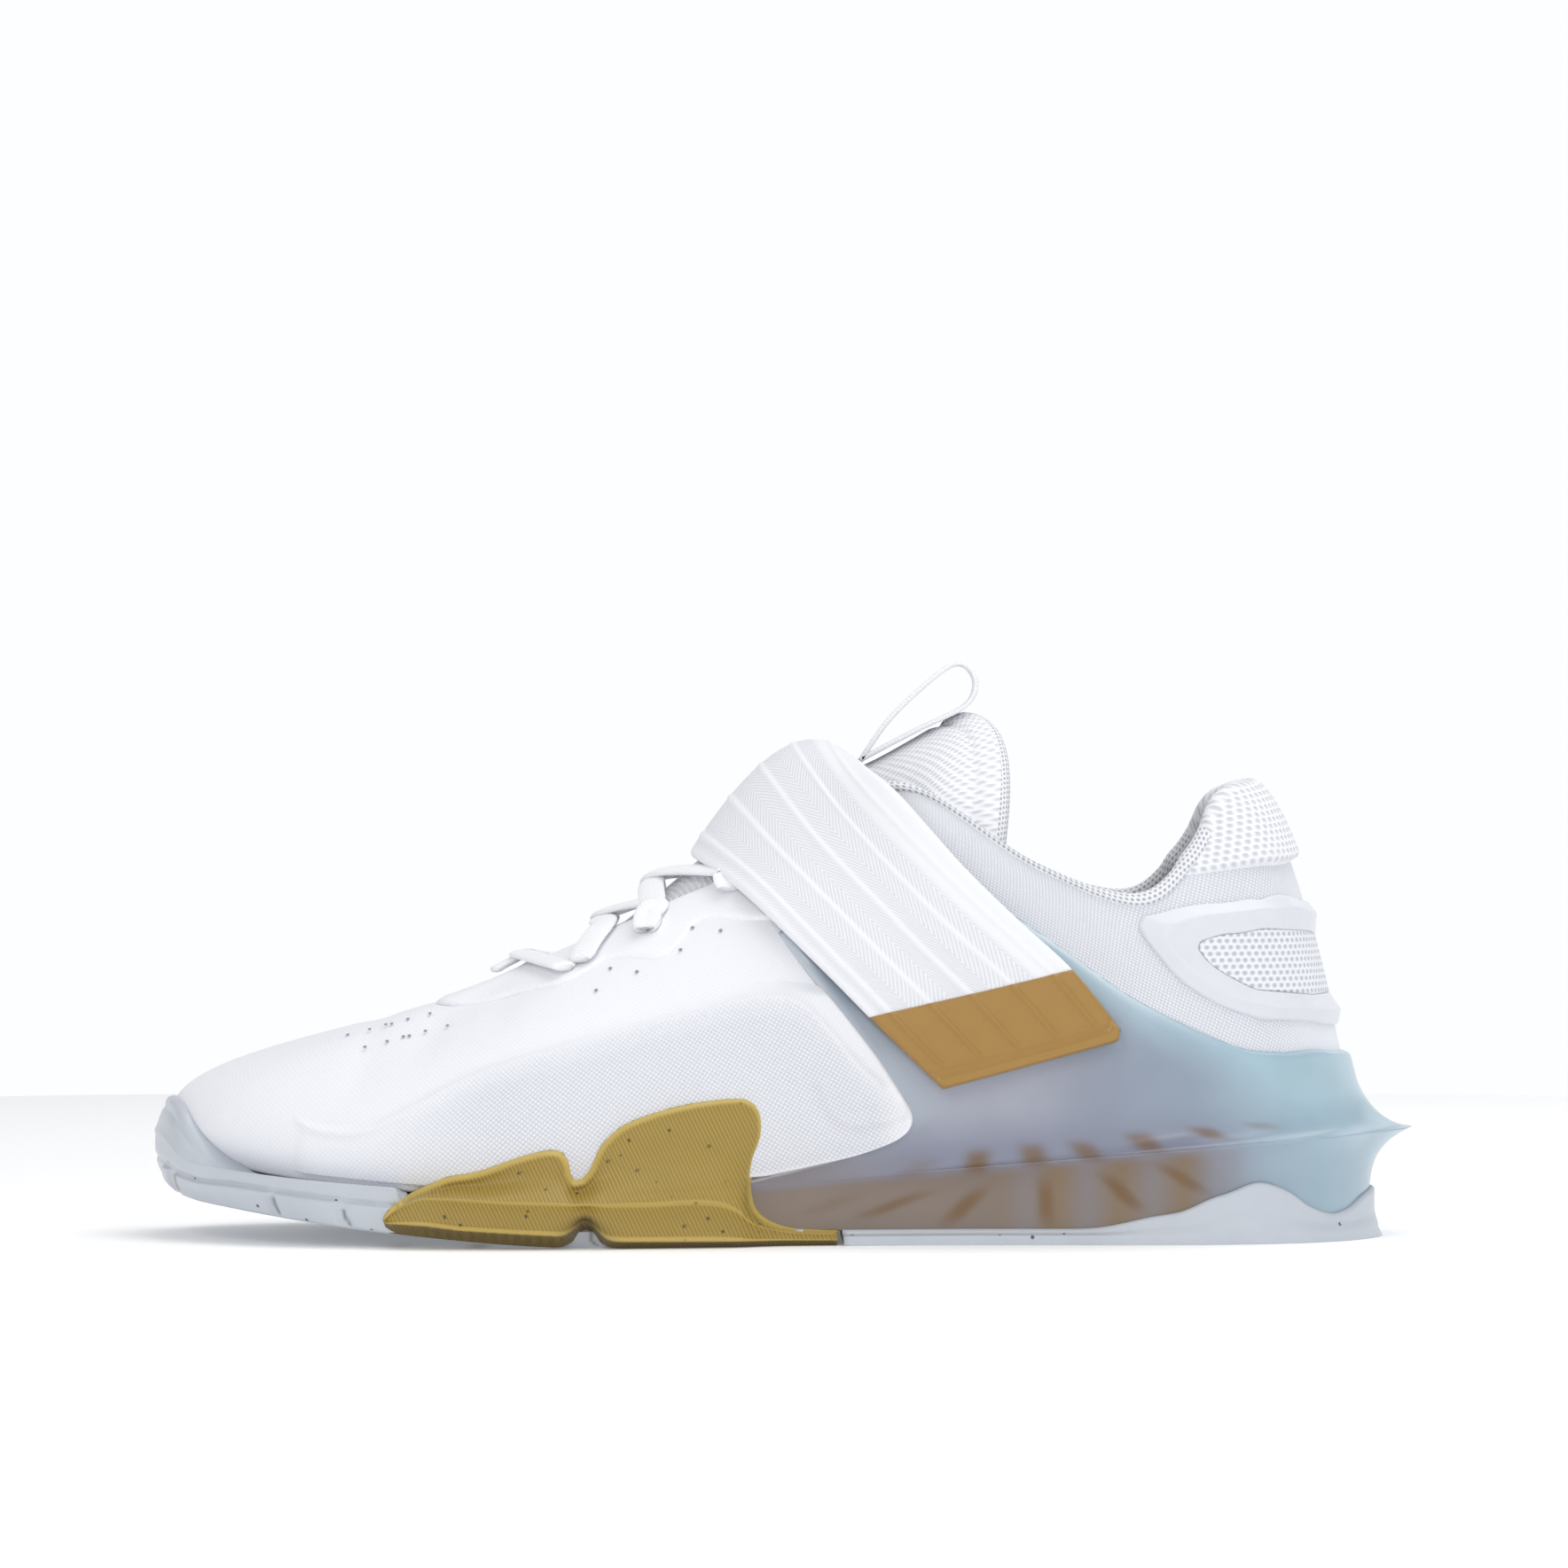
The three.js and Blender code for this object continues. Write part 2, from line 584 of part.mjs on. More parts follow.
// Tongue: rows from under the vamp to its free end. The crest lies in the middle plane.
// Each wing starts on the upper, at a station and level, and follows it to the throat edge.
// sweep: how far the face bends back between its crest and its wings, as a share of the last length.
const tongueRows = table(['station', 'level', 'xCrest', 'riseCrest', 'sweep'], [
  [1.50, 0.89, -0.268, 0.455, 0],
  [2.49, 0.88, -0.215, 0.515, 0],
  [3.12, 0.87, -0.165, 0.605, 0],
  [3.75, 0.87, -0.11, 0.715, 0],
  [4.35, 0.85, -0.05, 0.845, 0],
  [5.01, 0.83, 0.012, 0.965, 0],
  [5.65, 0.81, 0.062, 1.0, 0.005],
  [6.40, 0.84, 0.10, 1.045, 0.02],
  [7.20, 0.90, 0.135, 1.095, 0.045],
  [7.77, 0.95, 0.152, 1.112, 0.07],
]);

function cubicPoint(p, q, r, s, t) {
  const low = 1 - t;
  return p.map((value, axis) => value * low ** 3 + 3 * q[axis] * low * low * t
    + 3 * r[axis] * low * t * t + s[axis] * t ** 3);
}

// The tongue's face before it is set in under the upper. across runs from 0 on the outer wing to 1.
function tongueFace(along, across) {
  const place = along * (tongueRows.length - 1);
  const index = clamp(Math.floor(place), 0, tongueRows.length - 2);
  const rows = [-1, 0, 1, 2].map((step) => tongueRows[clamp(index + step, 0, tongueRows.length - 1)]);
  const value = (name) => smoothBetween(...rows.map((row) => row[name]), place - index);
  const side = across < 0.5 ? value('station') : loopStations - value('station');
  const wing = lastPoint(side, value('level'));
  const edge = lastPoint(side, 1);
  const { x, y } = sidePoint([value('xCrest'), value('riseCrest')]);
  const shoulder = [x + value('sweep') * lastLength, edge[1] * 0.7, y];
  return cubicPoint(wing, mixPoint(wing, edge, 0.8), shoulder, [x, 0, y], 1 - Math.abs(2 * across - 1));
}

// A point off a face that is given by a function of two shares
function offFace(face, a, b, offset) {
  const step = 0.01;
  const along = subtract(face(clamp(a + step, 0, 1), b), face(clamp(a - step, 0, 1), b));
  const across = subtract(face(a, clamp(b + step, 0, 1)), face(a, clamp(b - step, 0, 1)));
  return add(face(a, b), unit(cross(along, across)), offset);
}

// A pad between two offsets of a face, with its edges drawn in to a round
function padSolid(face, rows, columns, outside, inside) {
  const acrossAt = steps(columns);
  const sections = steps(rows).map((along) => [
    ...acrossAt.map((across) => offFace(face, along, across, outside)),
    ...acrossAt.slice().reverse().map((across) => offFace(face, along, across, inside)),
  ]);
  return capsuleSolid(sections);
}

const tongueSeat = -(upperWall + bindingWall + 3 * clearance);
function tongue() {
  return padSolid(tongueFace, 16, 10, tongueSeat, tongueSeat - tongueThickness);
}

// Heel clip: a wall over the heel whose foot flares out to the wedge's ridge, with a wing on each side
const flareLevel = 0.17;
function clipFace(station, level) {
  const base = skin(station, level, clearance + clipWall);
  const [x, y] = aroundFeather(station, reachAt(station, 'ridge'), 0);
  const blend = Math.max(0, 1 - level / flareLevel) ** 2;
  return mixPoint(base, [x, y, bedHeight(x)], blend);
}

const clipOutline = [
  [[-0.018, -0.2], [-0.018, 0.024]],
  [[0.012, 0.033], [0.057, 0.052], [0.087, 0.074], [0.106, 0.1], [0.11, 0.135], [0.1026, 0.176],
    [0.08, 0.277], [0.057, 0.364], [0.02, 0.5]],
  [[0.0, 0.58], [0.05, 0.7]],
  [[0.095, 0.765], [0.145, 0.69]],
  [[0.171, 0.632], [0.239, 0.49], [0.292, 0.388], [0.345, 0.305], [0.391, 0.248], [0.43, 0.214], [0.49, 0.19],
    [0.56, 0.18]],
  [[0.56, -0.2]],
];

function heelClip() {
  const levels = levelsBetween(0, 0.8);
  const flareLevels = [0, 0.25, 0.5, 1].map((share) => share * flareLevel);
  const outerLevels = [...flareLevels, ...levels.filter((level) => level > flareLevel)];
  const sections = loopAt.map((station) => [
    ...levels.map((level) => skin(station, level, clearance)),
    ...outerLevels.slice().reverse().map((level) => clipFace(station, level)),
  ]);
  return cutGeometry(toSolid(ringSolid(sections)).intersect(sidePrism(clipOutline)));
}

// Eyestay: a smooth overlay round the throat with a wavy lower edge
const eyestayOutline = [
  [[-0.305, 0.455], [-0.298, 0.43], [-0.265, 0.435], [-0.23, 0.467], [-0.188, 0.495], [-0.168, 0.522],
    [-0.15, 0.545], [-0.125, 0.545], [-0.109, 0.54], [-0.094, 0.556], [-0.079, 0.606], [-0.064, 0.625],
    [-0.026, 0.615], [0.0, 0.62]],
  [[0.03, 0.68], [0.03, 1.4]],
  [[-0.305, 1.4]],
];

function eyestay() {
  const form = wallForm(clearance, clearance + eyestayWall, 0.5, 1);
  return cutGeometry(form.intersect(sidePrism(eyestayOutline)));
}

// Heel frame: a moulded ring round the heel, with a window that shows the knit behind it
const frameOutline = [
  [[0.295, 0.522], [0.303, 0.54], [0.335, 0.553], [0.372, 0.553], [0.41, 0.562], [0.45, 0.565], [0.54, 0.55]],
  [[0.54, 0.245], [0.46, 0.252], [0.425, 0.262], [0.394, 0.285], [0.364, 0.335], [0.342, 0.4], [0.32, 0.46],
    [0.305, 0.497]],
];
const frameWindow = [
  [[0.349, 0.466], [0.364, 0.492], [0.398, 0.5], [0.422, 0.502], [0.445, 0.498], [0.54, 0.49]],
  [[0.54, 0.345], [0.452, 0.342], [0.422, 0.35], [0.398, 0.369], [0.376, 0.401], [0.36, 0.437]],
];

function heelFrame() {
  const form = wallForm(clearance, clearance + frameWall, 0.2, 1);
  return cutGeometry(form.intersect(sidePrism(frameOutline)).subtract(sidePrism(frameWindow)));
}

// A path over the top line: 0 to 1 climbs the outer face, 1 to 2 rounds the edge, 2 to 3 goes down inside
function overEdge(station, lowLevel, path, offset) {
  if (path < 1) return skin(station, mix(lowLevel, 1, path), offset);
  if (path > 2) return skin(station, mix(1, lowLevel, path - 2), -upperWall - offset);
  const outward = lastNormal(station, 1);
  const upward = unit(subtract(lastPoint(station, 1), lastPoint(station, 0.98)));
  const turn = (path - 1) * Math.PI;
  const radius = upperWall / 2 + offset;
  const middle = skin(station, 1, -upperWall / 2);
  return add(add(middle, outward, radius * Math.cos(turn)), upward, radius * Math.sin(turn));
}

// A cap folded over the top line between two stations
function edgeCap(from, to, lowLevelAt, wall) {
  const path = [0, 0.5, 1, 1.33, 1.67, 2, 2.5, 3];
  const margin = 0.05;
  const shared = loopAt.filter((station) => station > from + margin && station < to - margin);
  const sections = [from, ...shared, to].map((station) => {
    const low = lowLevelAt(station);
    return [
      ...path.map((at) => overEdge(station, low, at, clearance + wall)),
      ...path.slice().reverse().map((at) => overEdge(station, low, at, clearance)),
    ];
  });
  return capsuleSolid(sections);
}

// The level that lies a distance below the top line
function levelBelowEdge(station, distance) {
  const sample = 0.05;
  const run = Math.hypot(...subtract(lastPoint(station, 1), lastPoint(station, 1 - sample))) / sample;
  return 1 - distance / run;
}

// Collar binding: knit piping on the collar edge, from under the strap to the heel pad
const bindingStart = 6.8;
const padStart = 10.15;
const bindingGap = 0.04;
function collarBinding(side) {
  const [from, to] = [bindingStart, padStart - bindingGap];
  const low = (station) => levelBelowEdge(station, bindingDepth);
  return side === 'outer'
    ? edgeCap(from, to, low, bindingWall)
    : edgeCap(loopStations - to, loopStations - from, low, bindingWall);
}

// Heel pad: thick knit folded over the back of the collar, with a seam that drops toward the back
const padSeam = table(['station', 'level'], [
  [padStart - 0.1, 0.955], [10.45, 0.87], [10.8, 0.80], [11.3, 0.765], [heelStation, 0.76],
]);
function heelTab() {
  const low = (station) => {
    const along = station <= heelStation ? station : loopStations - station;
    return between(padSeam, 'station', 'level', along);
  };
  return edgeCap(padStart, loopStations - padStart, low, heelPad);
}

// Strap: each row gives the station and level of its front and rear edge, up the side of the foot
const strapRows = table(['frontStation', 'frontLevel', 'rearStation', 'rearLevel'], [
  [6.06, 0.23, 8.14, 0.36],
  [5.60, 0.42, 7.70, 0.55],
  [5.35, 0.51, 7.50, 0.62],
  [5.16, 0.60, 7.30, 0.70],
  [4.93, 0.77, 7.05, 0.80],
  [4.72, 0.93, 6.66, 0.94],
]);
// The strap's seat over the instep, from its front edge to its rear edge
const strapCrest = [[-0.0765, 0.765], [0.0036, 1.091], [0.047, 0.98]];
const strapSeat = 2 * clearance + clipWall;
const strapLast = 2 * strapRows.length;

// One line along the strap, from its outer end over the instep to its inner end
function strapLine(across) {
  const side = (turned) => strapRows.map((row) => {
    const station = mix(row.frontStation, row.rearStation, across);
    const level = mix(row.frontLevel, row.rearLevel, across);
    return skin(turned ? loopStations - station : station, level, strapSeat);
  });
  const [front, middle, rear] = strapCrest.map(sidePoint);
  const top = new THREE.QuadraticBezierCurve(front, middle, rear).getPoint(across);
  const points = [...side(false), [top.x, 0, top.y], ...side(true).reverse()];
  return new THREE.CatmullRomCurve3(points.map((point) => new THREE.Vector3(...point)), false, 'centripetal');
}

// The strap's underside. place counts its rows from the outer end.
const strapLines = new Map();
function strapFace(place, across) {
  const key = across.toFixed(4);
  if (!strapLines.has(key)) strapLines.set(key, strapLine(across));
  return strapLines.get(key).getPoint(clamp(place / strapLast, 0, 1)).toArray();
}

const strapRibs = 5;
const tabEnd = 0;
const tabSeam = 1;
const tabGap = 0.03;

// A band of the strap between two of its places, with raised lines along it
function strapBand(fromPlace, toPlace, rows, thickness) {
  const acrossAt = steps(2 * strapRibs);
  const face = (along, across) => strapFace(mix(fromPlace, toPlace, along), 1 - across);
  const ribAt = (index) => (index % 2 ? strapRib : 0);
  const sections = steps(rows).map((along) => [
    ...acrossAt.map((across, index) => offFace(face, along, across, thickness + ribAt(index))),
    ...acrossAt.slice().reverse().map((across) => face(along, across)),
  ]);
  return capsuleSolid(sections);
}
const strap = () => strapBand(tabSeam + tabGap, strapLast, 26, strapThickness);
const strapEnd = () => strapBand(tabEnd, tabSeam - tabGap, 5, strapEndThickness);

// Pull loop: a tape folded into a loop that stands on the tongue
const loopOutline = [
  [[0.06, 0.97], [0.092, 1.085], [0.137, 1.185], [0.157, 1.20], [0.17, 1.15], [0.162, 1.088], [0.122, 1.043]],
];
const loopHole = [
  [[0.073, 0.987], [0.098, 1.075], [0.138, 1.17], [0.155, 1.182], [0.163, 1.145], [0.155, 1.098],
    [0.118, 1.055]],
];
// How far the loop has to rise or sink to rest on the tongue
const loopUnderside = table(['x', 'height'], [[0.06, 0.97], [0.122, 1.043], [0.162, 1.088]]
  .map(sidePoint).map(({ x, y }) => [x, y]));
function loopLift() {
  const crest = steps(16).map((along) => offFace(tongueFace, along, 0.5, tongueSeat));
  const under = crest.filter(([x]) => x > loopUnderside[0].x && x < loopUnderside[2].x);
  return Math.max(...under.map(([x, , z]) => z - straightBetween(loopUnderside, x))) + clearance;
}

function pullLoop() {
  const half = loopWidth / 2;
  const lift = loopLift();
  const tape = sidePrism(loopOutline, [], -half, half);
  return cutGeometry(tape.subtract(sidePrism(loopHole, [], -half - 1, half + 1)).translate([0, 0, lift]));
}

// Laces: an end-to-end bar at the front, then crossings. One row for each pair of eyelets.
const eyelets = table(['station', 'level', 'xTop', 'riseTop'], [
  [3.28, 0.80, -0.195, 0.595],
  [4.06, 0.83, -0.118, 0.725],
  [4.52, 0.86, -0.092, 0.765],
]);
const laceLift = eyestayWall + 4 * clearance + laceThickness / 2;

const eyeletPoint = (row, turned) => (
  skin(turned ? loopStations - row.station : row.station, row.level, laceLift));
const edgePoint = (row, turned) => (
  skin(turned ? loopStations - row.station : row.station, 1, laceLift));

// A flat strand swept along a curve, its width across the curve
function strand(points) {
  const curve = new THREE.CatmullRomCurve3(points.map((point) => new THREE.Vector3(...point)));
  const core = add(points[Math.floor(points.length / 2)], [-0.3, 0, 1], -0.32 * ballWidth);
  const around = steps(6).slice(0, -1).map((share) => share * 2 * Math.PI);
  const sections = steps(10).map((share) => {
    const centre = curve.getPoint(share).toArray();
    const ahead = curve.getTangent(share).toArray();
    const sideways = unit(cross(ahead, subtract(centre, core)));
    const above = unit(cross(sideways, ahead));
    return around.map((angle) => add(
      add(centre, sideways, (laceWidth / 2) * Math.cos(angle)), above, (laceThickness / 2) * Math.sin(angle),
    ));
  });
  return toSolid(capsuleSolid(sections));
}

function laces() {
  const strands = [];
  const topPoint = (low, high, raise) => {
    const [a, b] = [low, high].map((row) => sidePoint([row.xTop, row.riseTop]));
    return [(a.x + b.x) / 2, 0, (a.y + b.y) / 2 + raise];
  };
  const path = (low, high, turned, raise) => [eyeletPoint(low, turned), edgePoint(low, turned),
    topPoint(low, high, raise), edgePoint(high, !turned), eyeletPoint(high, !turned)];
  strands.push(strand(path(eyelets[0], eyelets[0], false, 0)));
  eyelets.slice(1).forEach((row, index) => {
    strands.push(strand(path(eyelets[index], row, false, 0)));
    strands.push(strand(path(eyelets[index], row, true, laceThickness * 0.6)));
  });
  return cutGeometry(strands.reduce((joined, one) => joined.add(one)));
}

const group = new THREE.Group();
function addPiece(name, geometry, colour, roughness, metalness = 0) {
  const material = new THREE.MeshStandardMaterial({ color: colour, roughness, metalness });
  const mesh = new THREE.Mesh(geometry, material);
  mesh.name = name;
  group.add(mesh);
}

addPiece('upper', upper(), '#f4f5f7', 0.9);
addPiece('insole', insole(), '#d9dade', 0.9);
addPiece('midsole', midsole(), '#b9cdd6', 0.3);

addPiece('outsole_front', outsoleFront(), '#cbd1d9', 0.45);
addPiece('outrigger', outrigger(), '#bda047', 0.4);
addPiece('outsole_heel', outsoleHeel(), '#cbd1d9', 0.45);
addPiece('tongue', tongue(), '#eceef1', 0.9);
addPiece('heel_clip', heelClip(), '#c3d6de', 0.25);
addPiece('eyestay', eyestay(), '#f1f2f5', 0.6);
addPiece('heel_frame', heelFrame(), '#e9ebef', 0.4);
addPiece('heel_tab', heelTab(), '#eef0f3', 0.9);
addPiece('collar_binding_outer', collarBinding('outer'), '#d9dce1', 0.9);
addPiece('collar_binding_inner', collarBinding('inner'), '#d9dce1', 0.9);
addPiece('strap', strap(), '#f2f3f6', 0.85);
addPiece('strap_end', strapEnd(), '#ab8743', 0.4);
addPiece('pull_loop', pullLoop(), '#eff0f3', 0.8);
addPiece('laces', laces(), '#f4f5f7', 0.85);

export default group;
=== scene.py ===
"""A weightlifting shoe for the left foot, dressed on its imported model.

Lengths are in millimetres until a mesh is made. The toe points toward -X and the outer side faces -Y.
A place on the upper is a station round the foot and a level between the feather line and the top line.
"""

import logging
import math
from dataclasses import dataclass, field
from enum import Enum

import bmesh
import bpy
import numpy as np
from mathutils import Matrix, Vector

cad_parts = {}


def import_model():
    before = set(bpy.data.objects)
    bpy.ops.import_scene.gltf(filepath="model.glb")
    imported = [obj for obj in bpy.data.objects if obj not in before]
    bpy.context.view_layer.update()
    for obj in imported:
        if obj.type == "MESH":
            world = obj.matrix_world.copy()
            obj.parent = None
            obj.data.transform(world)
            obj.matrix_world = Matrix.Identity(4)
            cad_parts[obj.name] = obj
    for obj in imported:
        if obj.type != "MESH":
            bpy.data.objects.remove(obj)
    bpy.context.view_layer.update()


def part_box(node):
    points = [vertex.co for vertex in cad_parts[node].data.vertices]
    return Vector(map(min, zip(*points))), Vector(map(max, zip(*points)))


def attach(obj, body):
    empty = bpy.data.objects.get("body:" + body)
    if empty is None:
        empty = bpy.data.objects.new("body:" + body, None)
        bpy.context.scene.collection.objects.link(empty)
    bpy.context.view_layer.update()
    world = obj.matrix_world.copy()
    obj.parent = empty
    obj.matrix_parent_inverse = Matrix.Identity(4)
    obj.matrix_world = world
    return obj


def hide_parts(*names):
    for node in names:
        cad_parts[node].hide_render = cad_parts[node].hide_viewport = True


log = logging.getLogger("shoe")
MM = 0.001
HEEL = 12  # station at the back of the heel
ROUND = 24  # stations once round the foot


class Side(Enum):
    """The two sides of the foot."""

    OUTER = "outer"
    INNER = "inner"


# Small numeric helpers


def smooth(low: float, high: float, value: np.ndarray) -> np.ndarray:
    """A soft step from 0 at low to 1 at high."""
    share = np.clip((value - low) / (high - low), 0, 1)
    return share * share * (3 - 2 * share)


def hump(centre: float, width: float, value: np.ndarray) -> np.ndarray:
    """A bell of height 1 at the centre."""
    return np.exp(-(((value - centre) / width) ** 2))


def unit(vectors: np.ndarray) -> np.ndarray:
    """Vectors of length 1."""
    return vectors / np.maximum(np.linalg.norm(vectors, axis=-1, keepdims=True), 1e-9)


def rounding(distance: np.ndarray, radius: float) -> np.ndarray:
    """The quarter-round rise of an edge: 0 at the edge and 1 from the radius inward."""
    share = 1 - np.clip(distance / radius, 0, 1)
    return np.sqrt(1 - share * share)


def through(a: np.ndarray, b: np.ndarray, c: np.ndarray, d: np.ndarray, t: np.ndarray) -> np.ndarray:
    """A smooth run from b to c, led by their neighbours a and d."""
    return 0.5 * (2 * b + (c - a) * t + (2 * a - 5 * b + 4 * c - d) * t**2 + (3 * b - a - 3 * c + d) * t**3)


def spline(rows: np.ndarray, at: np.ndarray) -> np.ndarray:
    """Reads smooth values between rows.

    Args:
        rows: Values, one row for each whole number.
        at: Places counted in rows.

    Returns:
        One value for each place.
    """
    last = len(rows) - 1
    index = np.clip(np.floor(at).astype(int), 0, last - 1)
    t = (np.clip(at, 0, last) - index).reshape(np.shape(at) + (1,) * (rows.ndim - 1))
    return through(*(rows[np.clip(index + step, 0, last)] for step in (-1, 0, 1, 2)), t)


def arc(points: np.ndarray) -> np.ndarray:
    """The length along a line of points, starting at 0."""
    steps = np.linalg.norm(np.diff(points, axis=0), axis=-1)
    return np.concatenate([np.zeros((1,) + steps.shape[1:]), np.cumsum(steps, axis=0)])


def arc_up(points: np.ndarray) -> np.ndarray:
    """The length up each column of a grid, starting at 0."""
    return arc(points.transpose(1, 0, 2)).T


def folded(grid: np.ndarray, back: np.ndarray | None = None) -> np.ndarray:
    """A closed section for each column: a grid, what runs back under it, and its first row again."""
    back = grid[:, ::-1] if back is None else back
    return np.concatenate([grid, back, grid[:, :1]], axis=1)


def between(table: np.ndarray, at: np.ndarray, rise: np.ndarray) -> np.ndarray:
    """Reads a table between its columns and rows."""
    i, j = np.floor(at).astype(int), np.minimum(np.floor(rise).astype(int), table.shape[1] - 2)
    a, b = at - i, rise - j
    return ((1 - a) * (1 - b) * table[i, j] + a * (1 - b) * table[i + 1, j]
            + (1 - a) * b * table[i, j + 1] + a * b * table[i + 1, j + 1])


def from_toe(station: np.ndarray) -> np.ndarray:
    """Stations counted from the toe on either side."""
    return np.where(station <= HEEL, station, ROUND - station)


def trace(runs: list[np.ndarray], count: int) -> np.ndarray:
    """A line through runs of points, smooth in each run and with a corner between two runs.

    Args:
        runs: Lists of points.
        count: How many evenly spaced points come back.

    Returns:
        The points of the line.
    """
    dense = []
    for run in runs:
        run = np.asarray(run, float)
        places = np.linspace(0, len(run) - 1, 24 * (len(run) - 1) + 1)
        dense.append(spline(run, places) if len(run) > 1 else run)
    line = np.concatenate(dense)
    length = arc(line)
    keep = np.concatenate([[True], np.diff(length) > 1e-9])
    at = np.linspace(0, length[-1], count)
    return np.stack([np.interp(at, length[keep], line[keep, axis]) for axis in range(line.shape[1])], axis=1)


def distance_to(line: np.ndarray, x: np.ndarray, z: np.ndarray) -> np.ndarray:
    """Distance in the side view from points to a line of points."""
    best = np.full(np.shape(x), 1e9)
    for (ax, az), (bx, bz) in zip(line[:-1], line[1:]):
        dx, dz = bx - ax, bz - az
        share = np.clip(((x - ax) * dx + (z - az) * dz) / (dx * dx + dz * dz + 1e-12), 0, 1)
        best = np.minimum(best, np.hypot(x - ax - share * dx, z - az - share * dz))
    return best


def coons(bottom: np.ndarray, top: np.ndarray, front: np.ndarray, back: np.ndarray) -> np.ndarray:
    """Fills the patch between four lines: bottom and top run backward, front and back run upward."""
    a = np.linspace(0, 1, len(bottom))[:, None, None]
    b = np.linspace(0, 1, len(front))[None, :, None]
    across = (1 - b) * bottom[:, None] + b * top[:, None]
    along = (1 - a) * front[None] + a * back[None]
    corners = ((1 - a) * (1 - b) * bottom[0] + a * (1 - b) * bottom[-1]
               + (1 - a) * b * top[0] + a * b * top[-1])
    return across + along - corners


# The foot form

# x shares of the length, rises as shares of the instep height, half widths as shares of the ball width:
# xFeather xBelly xShoulder xTop | riseBelly riseShoulder riseTop | outer and inner Feather Belly Shoulder Top
STATIONS = np.array([
    [-0.500, -0.638, -0.319, -0.223, 0.231, 0.348, 0.53, -0.05, -0.05, -0.02, -0.01, 0.05, 0.05, 0.02, 0.01],
    [-0.474, -0.559, -0.340, -0.219, 0.19, 0.343, 0.532, 0.22, 0.30, 0.22, 0.05, 0.25, 0.32, 0.24, 0.06],
    [-0.387, -0.411, -0.312, -0.208, 0.162, 0.33, 0.543, 0.42, 0.50, 0.34, 0.09, 0.425, 0.49, 0.34, 0.09],
    [-0.245, -0.248, -0.215, -0.164, 0.212, 0.455, 0.592, 0.50, 0.58, 0.42, 0.13, 0.465, 0.53, 0.40, 0.13],
    [-0.113, -0.113, -0.113, -0.099, 0.225, 0.525, 0.662, 0.46, 0.55, 0.43, 0.17, 0.40, 0.49, 0.41, 0.17],
    [0.015, 0.011, -0.004, -0.026, 0.24, 0.603, 0.737, 0.39, 0.49, 0.43, 0.19, 0.31, 0.44, 0.42, 0.19],
    [0.135, 0.128, 0.099, 0.047, 0.245, 0.671, 0.852, 0.35, 0.45, 0.43, 0.22, 0.285, 0.42, 0.41, 0.22],
    [0.223, 0.215, 0.172, 0.109, 0.246, 0.665, 0.894, 0.345, 0.43, 0.42, 0.29, 0.305, 0.41, 0.41, 0.29],
    [0.303, 0.296, 0.259, 0.208, 0.227, 0.551, 0.701, 0.35, 0.41, 0.40, 0.33, 0.33, 0.41, 0.39, 0.325],
    [0.372, 0.363, 0.328, 0.301, 0.202, 0.439, 0.59, 0.335, 0.39, 0.38, 0.335, 0.325, 0.39, 0.37, 0.33],
    [0.431, 0.417, 0.392, 0.3485, 0.172, 0.49, 0.67, 0.28, 0.33, 0.33, 0.275, 0.275, 0.33, 0.325, 0.27],
    [0.478, 0.461, 0.437, 0.3815, 0.165, 0.685, 0.798, 0.165, 0.20, 0.21, 0.175, 0.165, 0.20, 0.21, 0.17],
    [0.500, 0.484, 0.450, 0.409, 0.183, 0.71, 0.821, 0, 0, 0, 0, 0, 0, 0, 0],
])

# Reaches outside the feather line as shares of the ball width: station ridge waist foot belly ground bumper
SOLE_OUTER = np.array([
    [0, 0, 0, 0, 0.13, 0.07, 0.145], [0.4, 0, 0, 0, 0.124, 0.066, 0.141],
    [0.6, 0, 0, 0, 0.12, 0.063, 0.133], [0.8, 0, 0, 0, 0.115, 0.06, 0.10],
    [1, 0, 0, 0, 0.102, 0.054, 0.048], [1.2, 0, 0, 0, 0.09, 0.048, 0.016],
    [1.4, 0, 0, 0, 0.085, 0.044, 0.005], [1.6, 0, 0, 0, 0.08, 0.04, 0.004],
    [2.6, 0, 0, 0, 0.075, 0.045, 0.012], [3.6, 0.005, 0.005, 0.005, 0.085, 0.07, 0.014],
    [4.9, 0.015, 0.01, 0.01, 0.085, 0.06, 0.014], [5.4, 0.03, 0.012, 0.012, 0.05, 0.045, -0.105],
    [6.5, 0.05, 0.018, 0.015, 0.045, 0.045, -0.13], [9, 0.065, 0.025, 0.02, 0.045, 0.045, -0.17],
    [11, 0.085, 0.03, 0.022, 0.05, 0.055, -0.17], [12, 0.13, 0.035, 0.025, 0.05, 0.06, -0.17],
])
SOLE_INNER = np.array([
    [0, 0, 0, 0, 0.13, 0.07, 0.145], [0.4, 0, 0, 0, 0.124, 0.066, 0.125], [0.8, 0, 0, 0, 0.115, 0.06, 0.07],
    [1.2, 0, 0, 0, 0.09, 0.048, 0.022], [2, 0, 0, 0, 0.07, 0.035, 0.03], [3.4, 0, 0, 0, 0.065, 0.03, 0.08],
    [4.1, 0.005, 0.005, 0.005, 0.065, 0.035, 0.05], [4.65, 0.012, 0.01, 0.01, 0.06, 0.04, -0.05],
    [5.4, 0.03, 0.012, 0.012, 0.05, 0.045, -0.105], [6.5, 0.05, 0.018, 0.015, 0.045, 0.045, -0.13],
    [9, 0.065, 0.025, 0.02, 0.045, 0.045, -0.17], [11, 0.085, 0.03, 0.022, 0.05, 0.055, -0.17],
    [12, 0.13, 0.035, 0.025, 0.05, 0.06, -0.17],
])
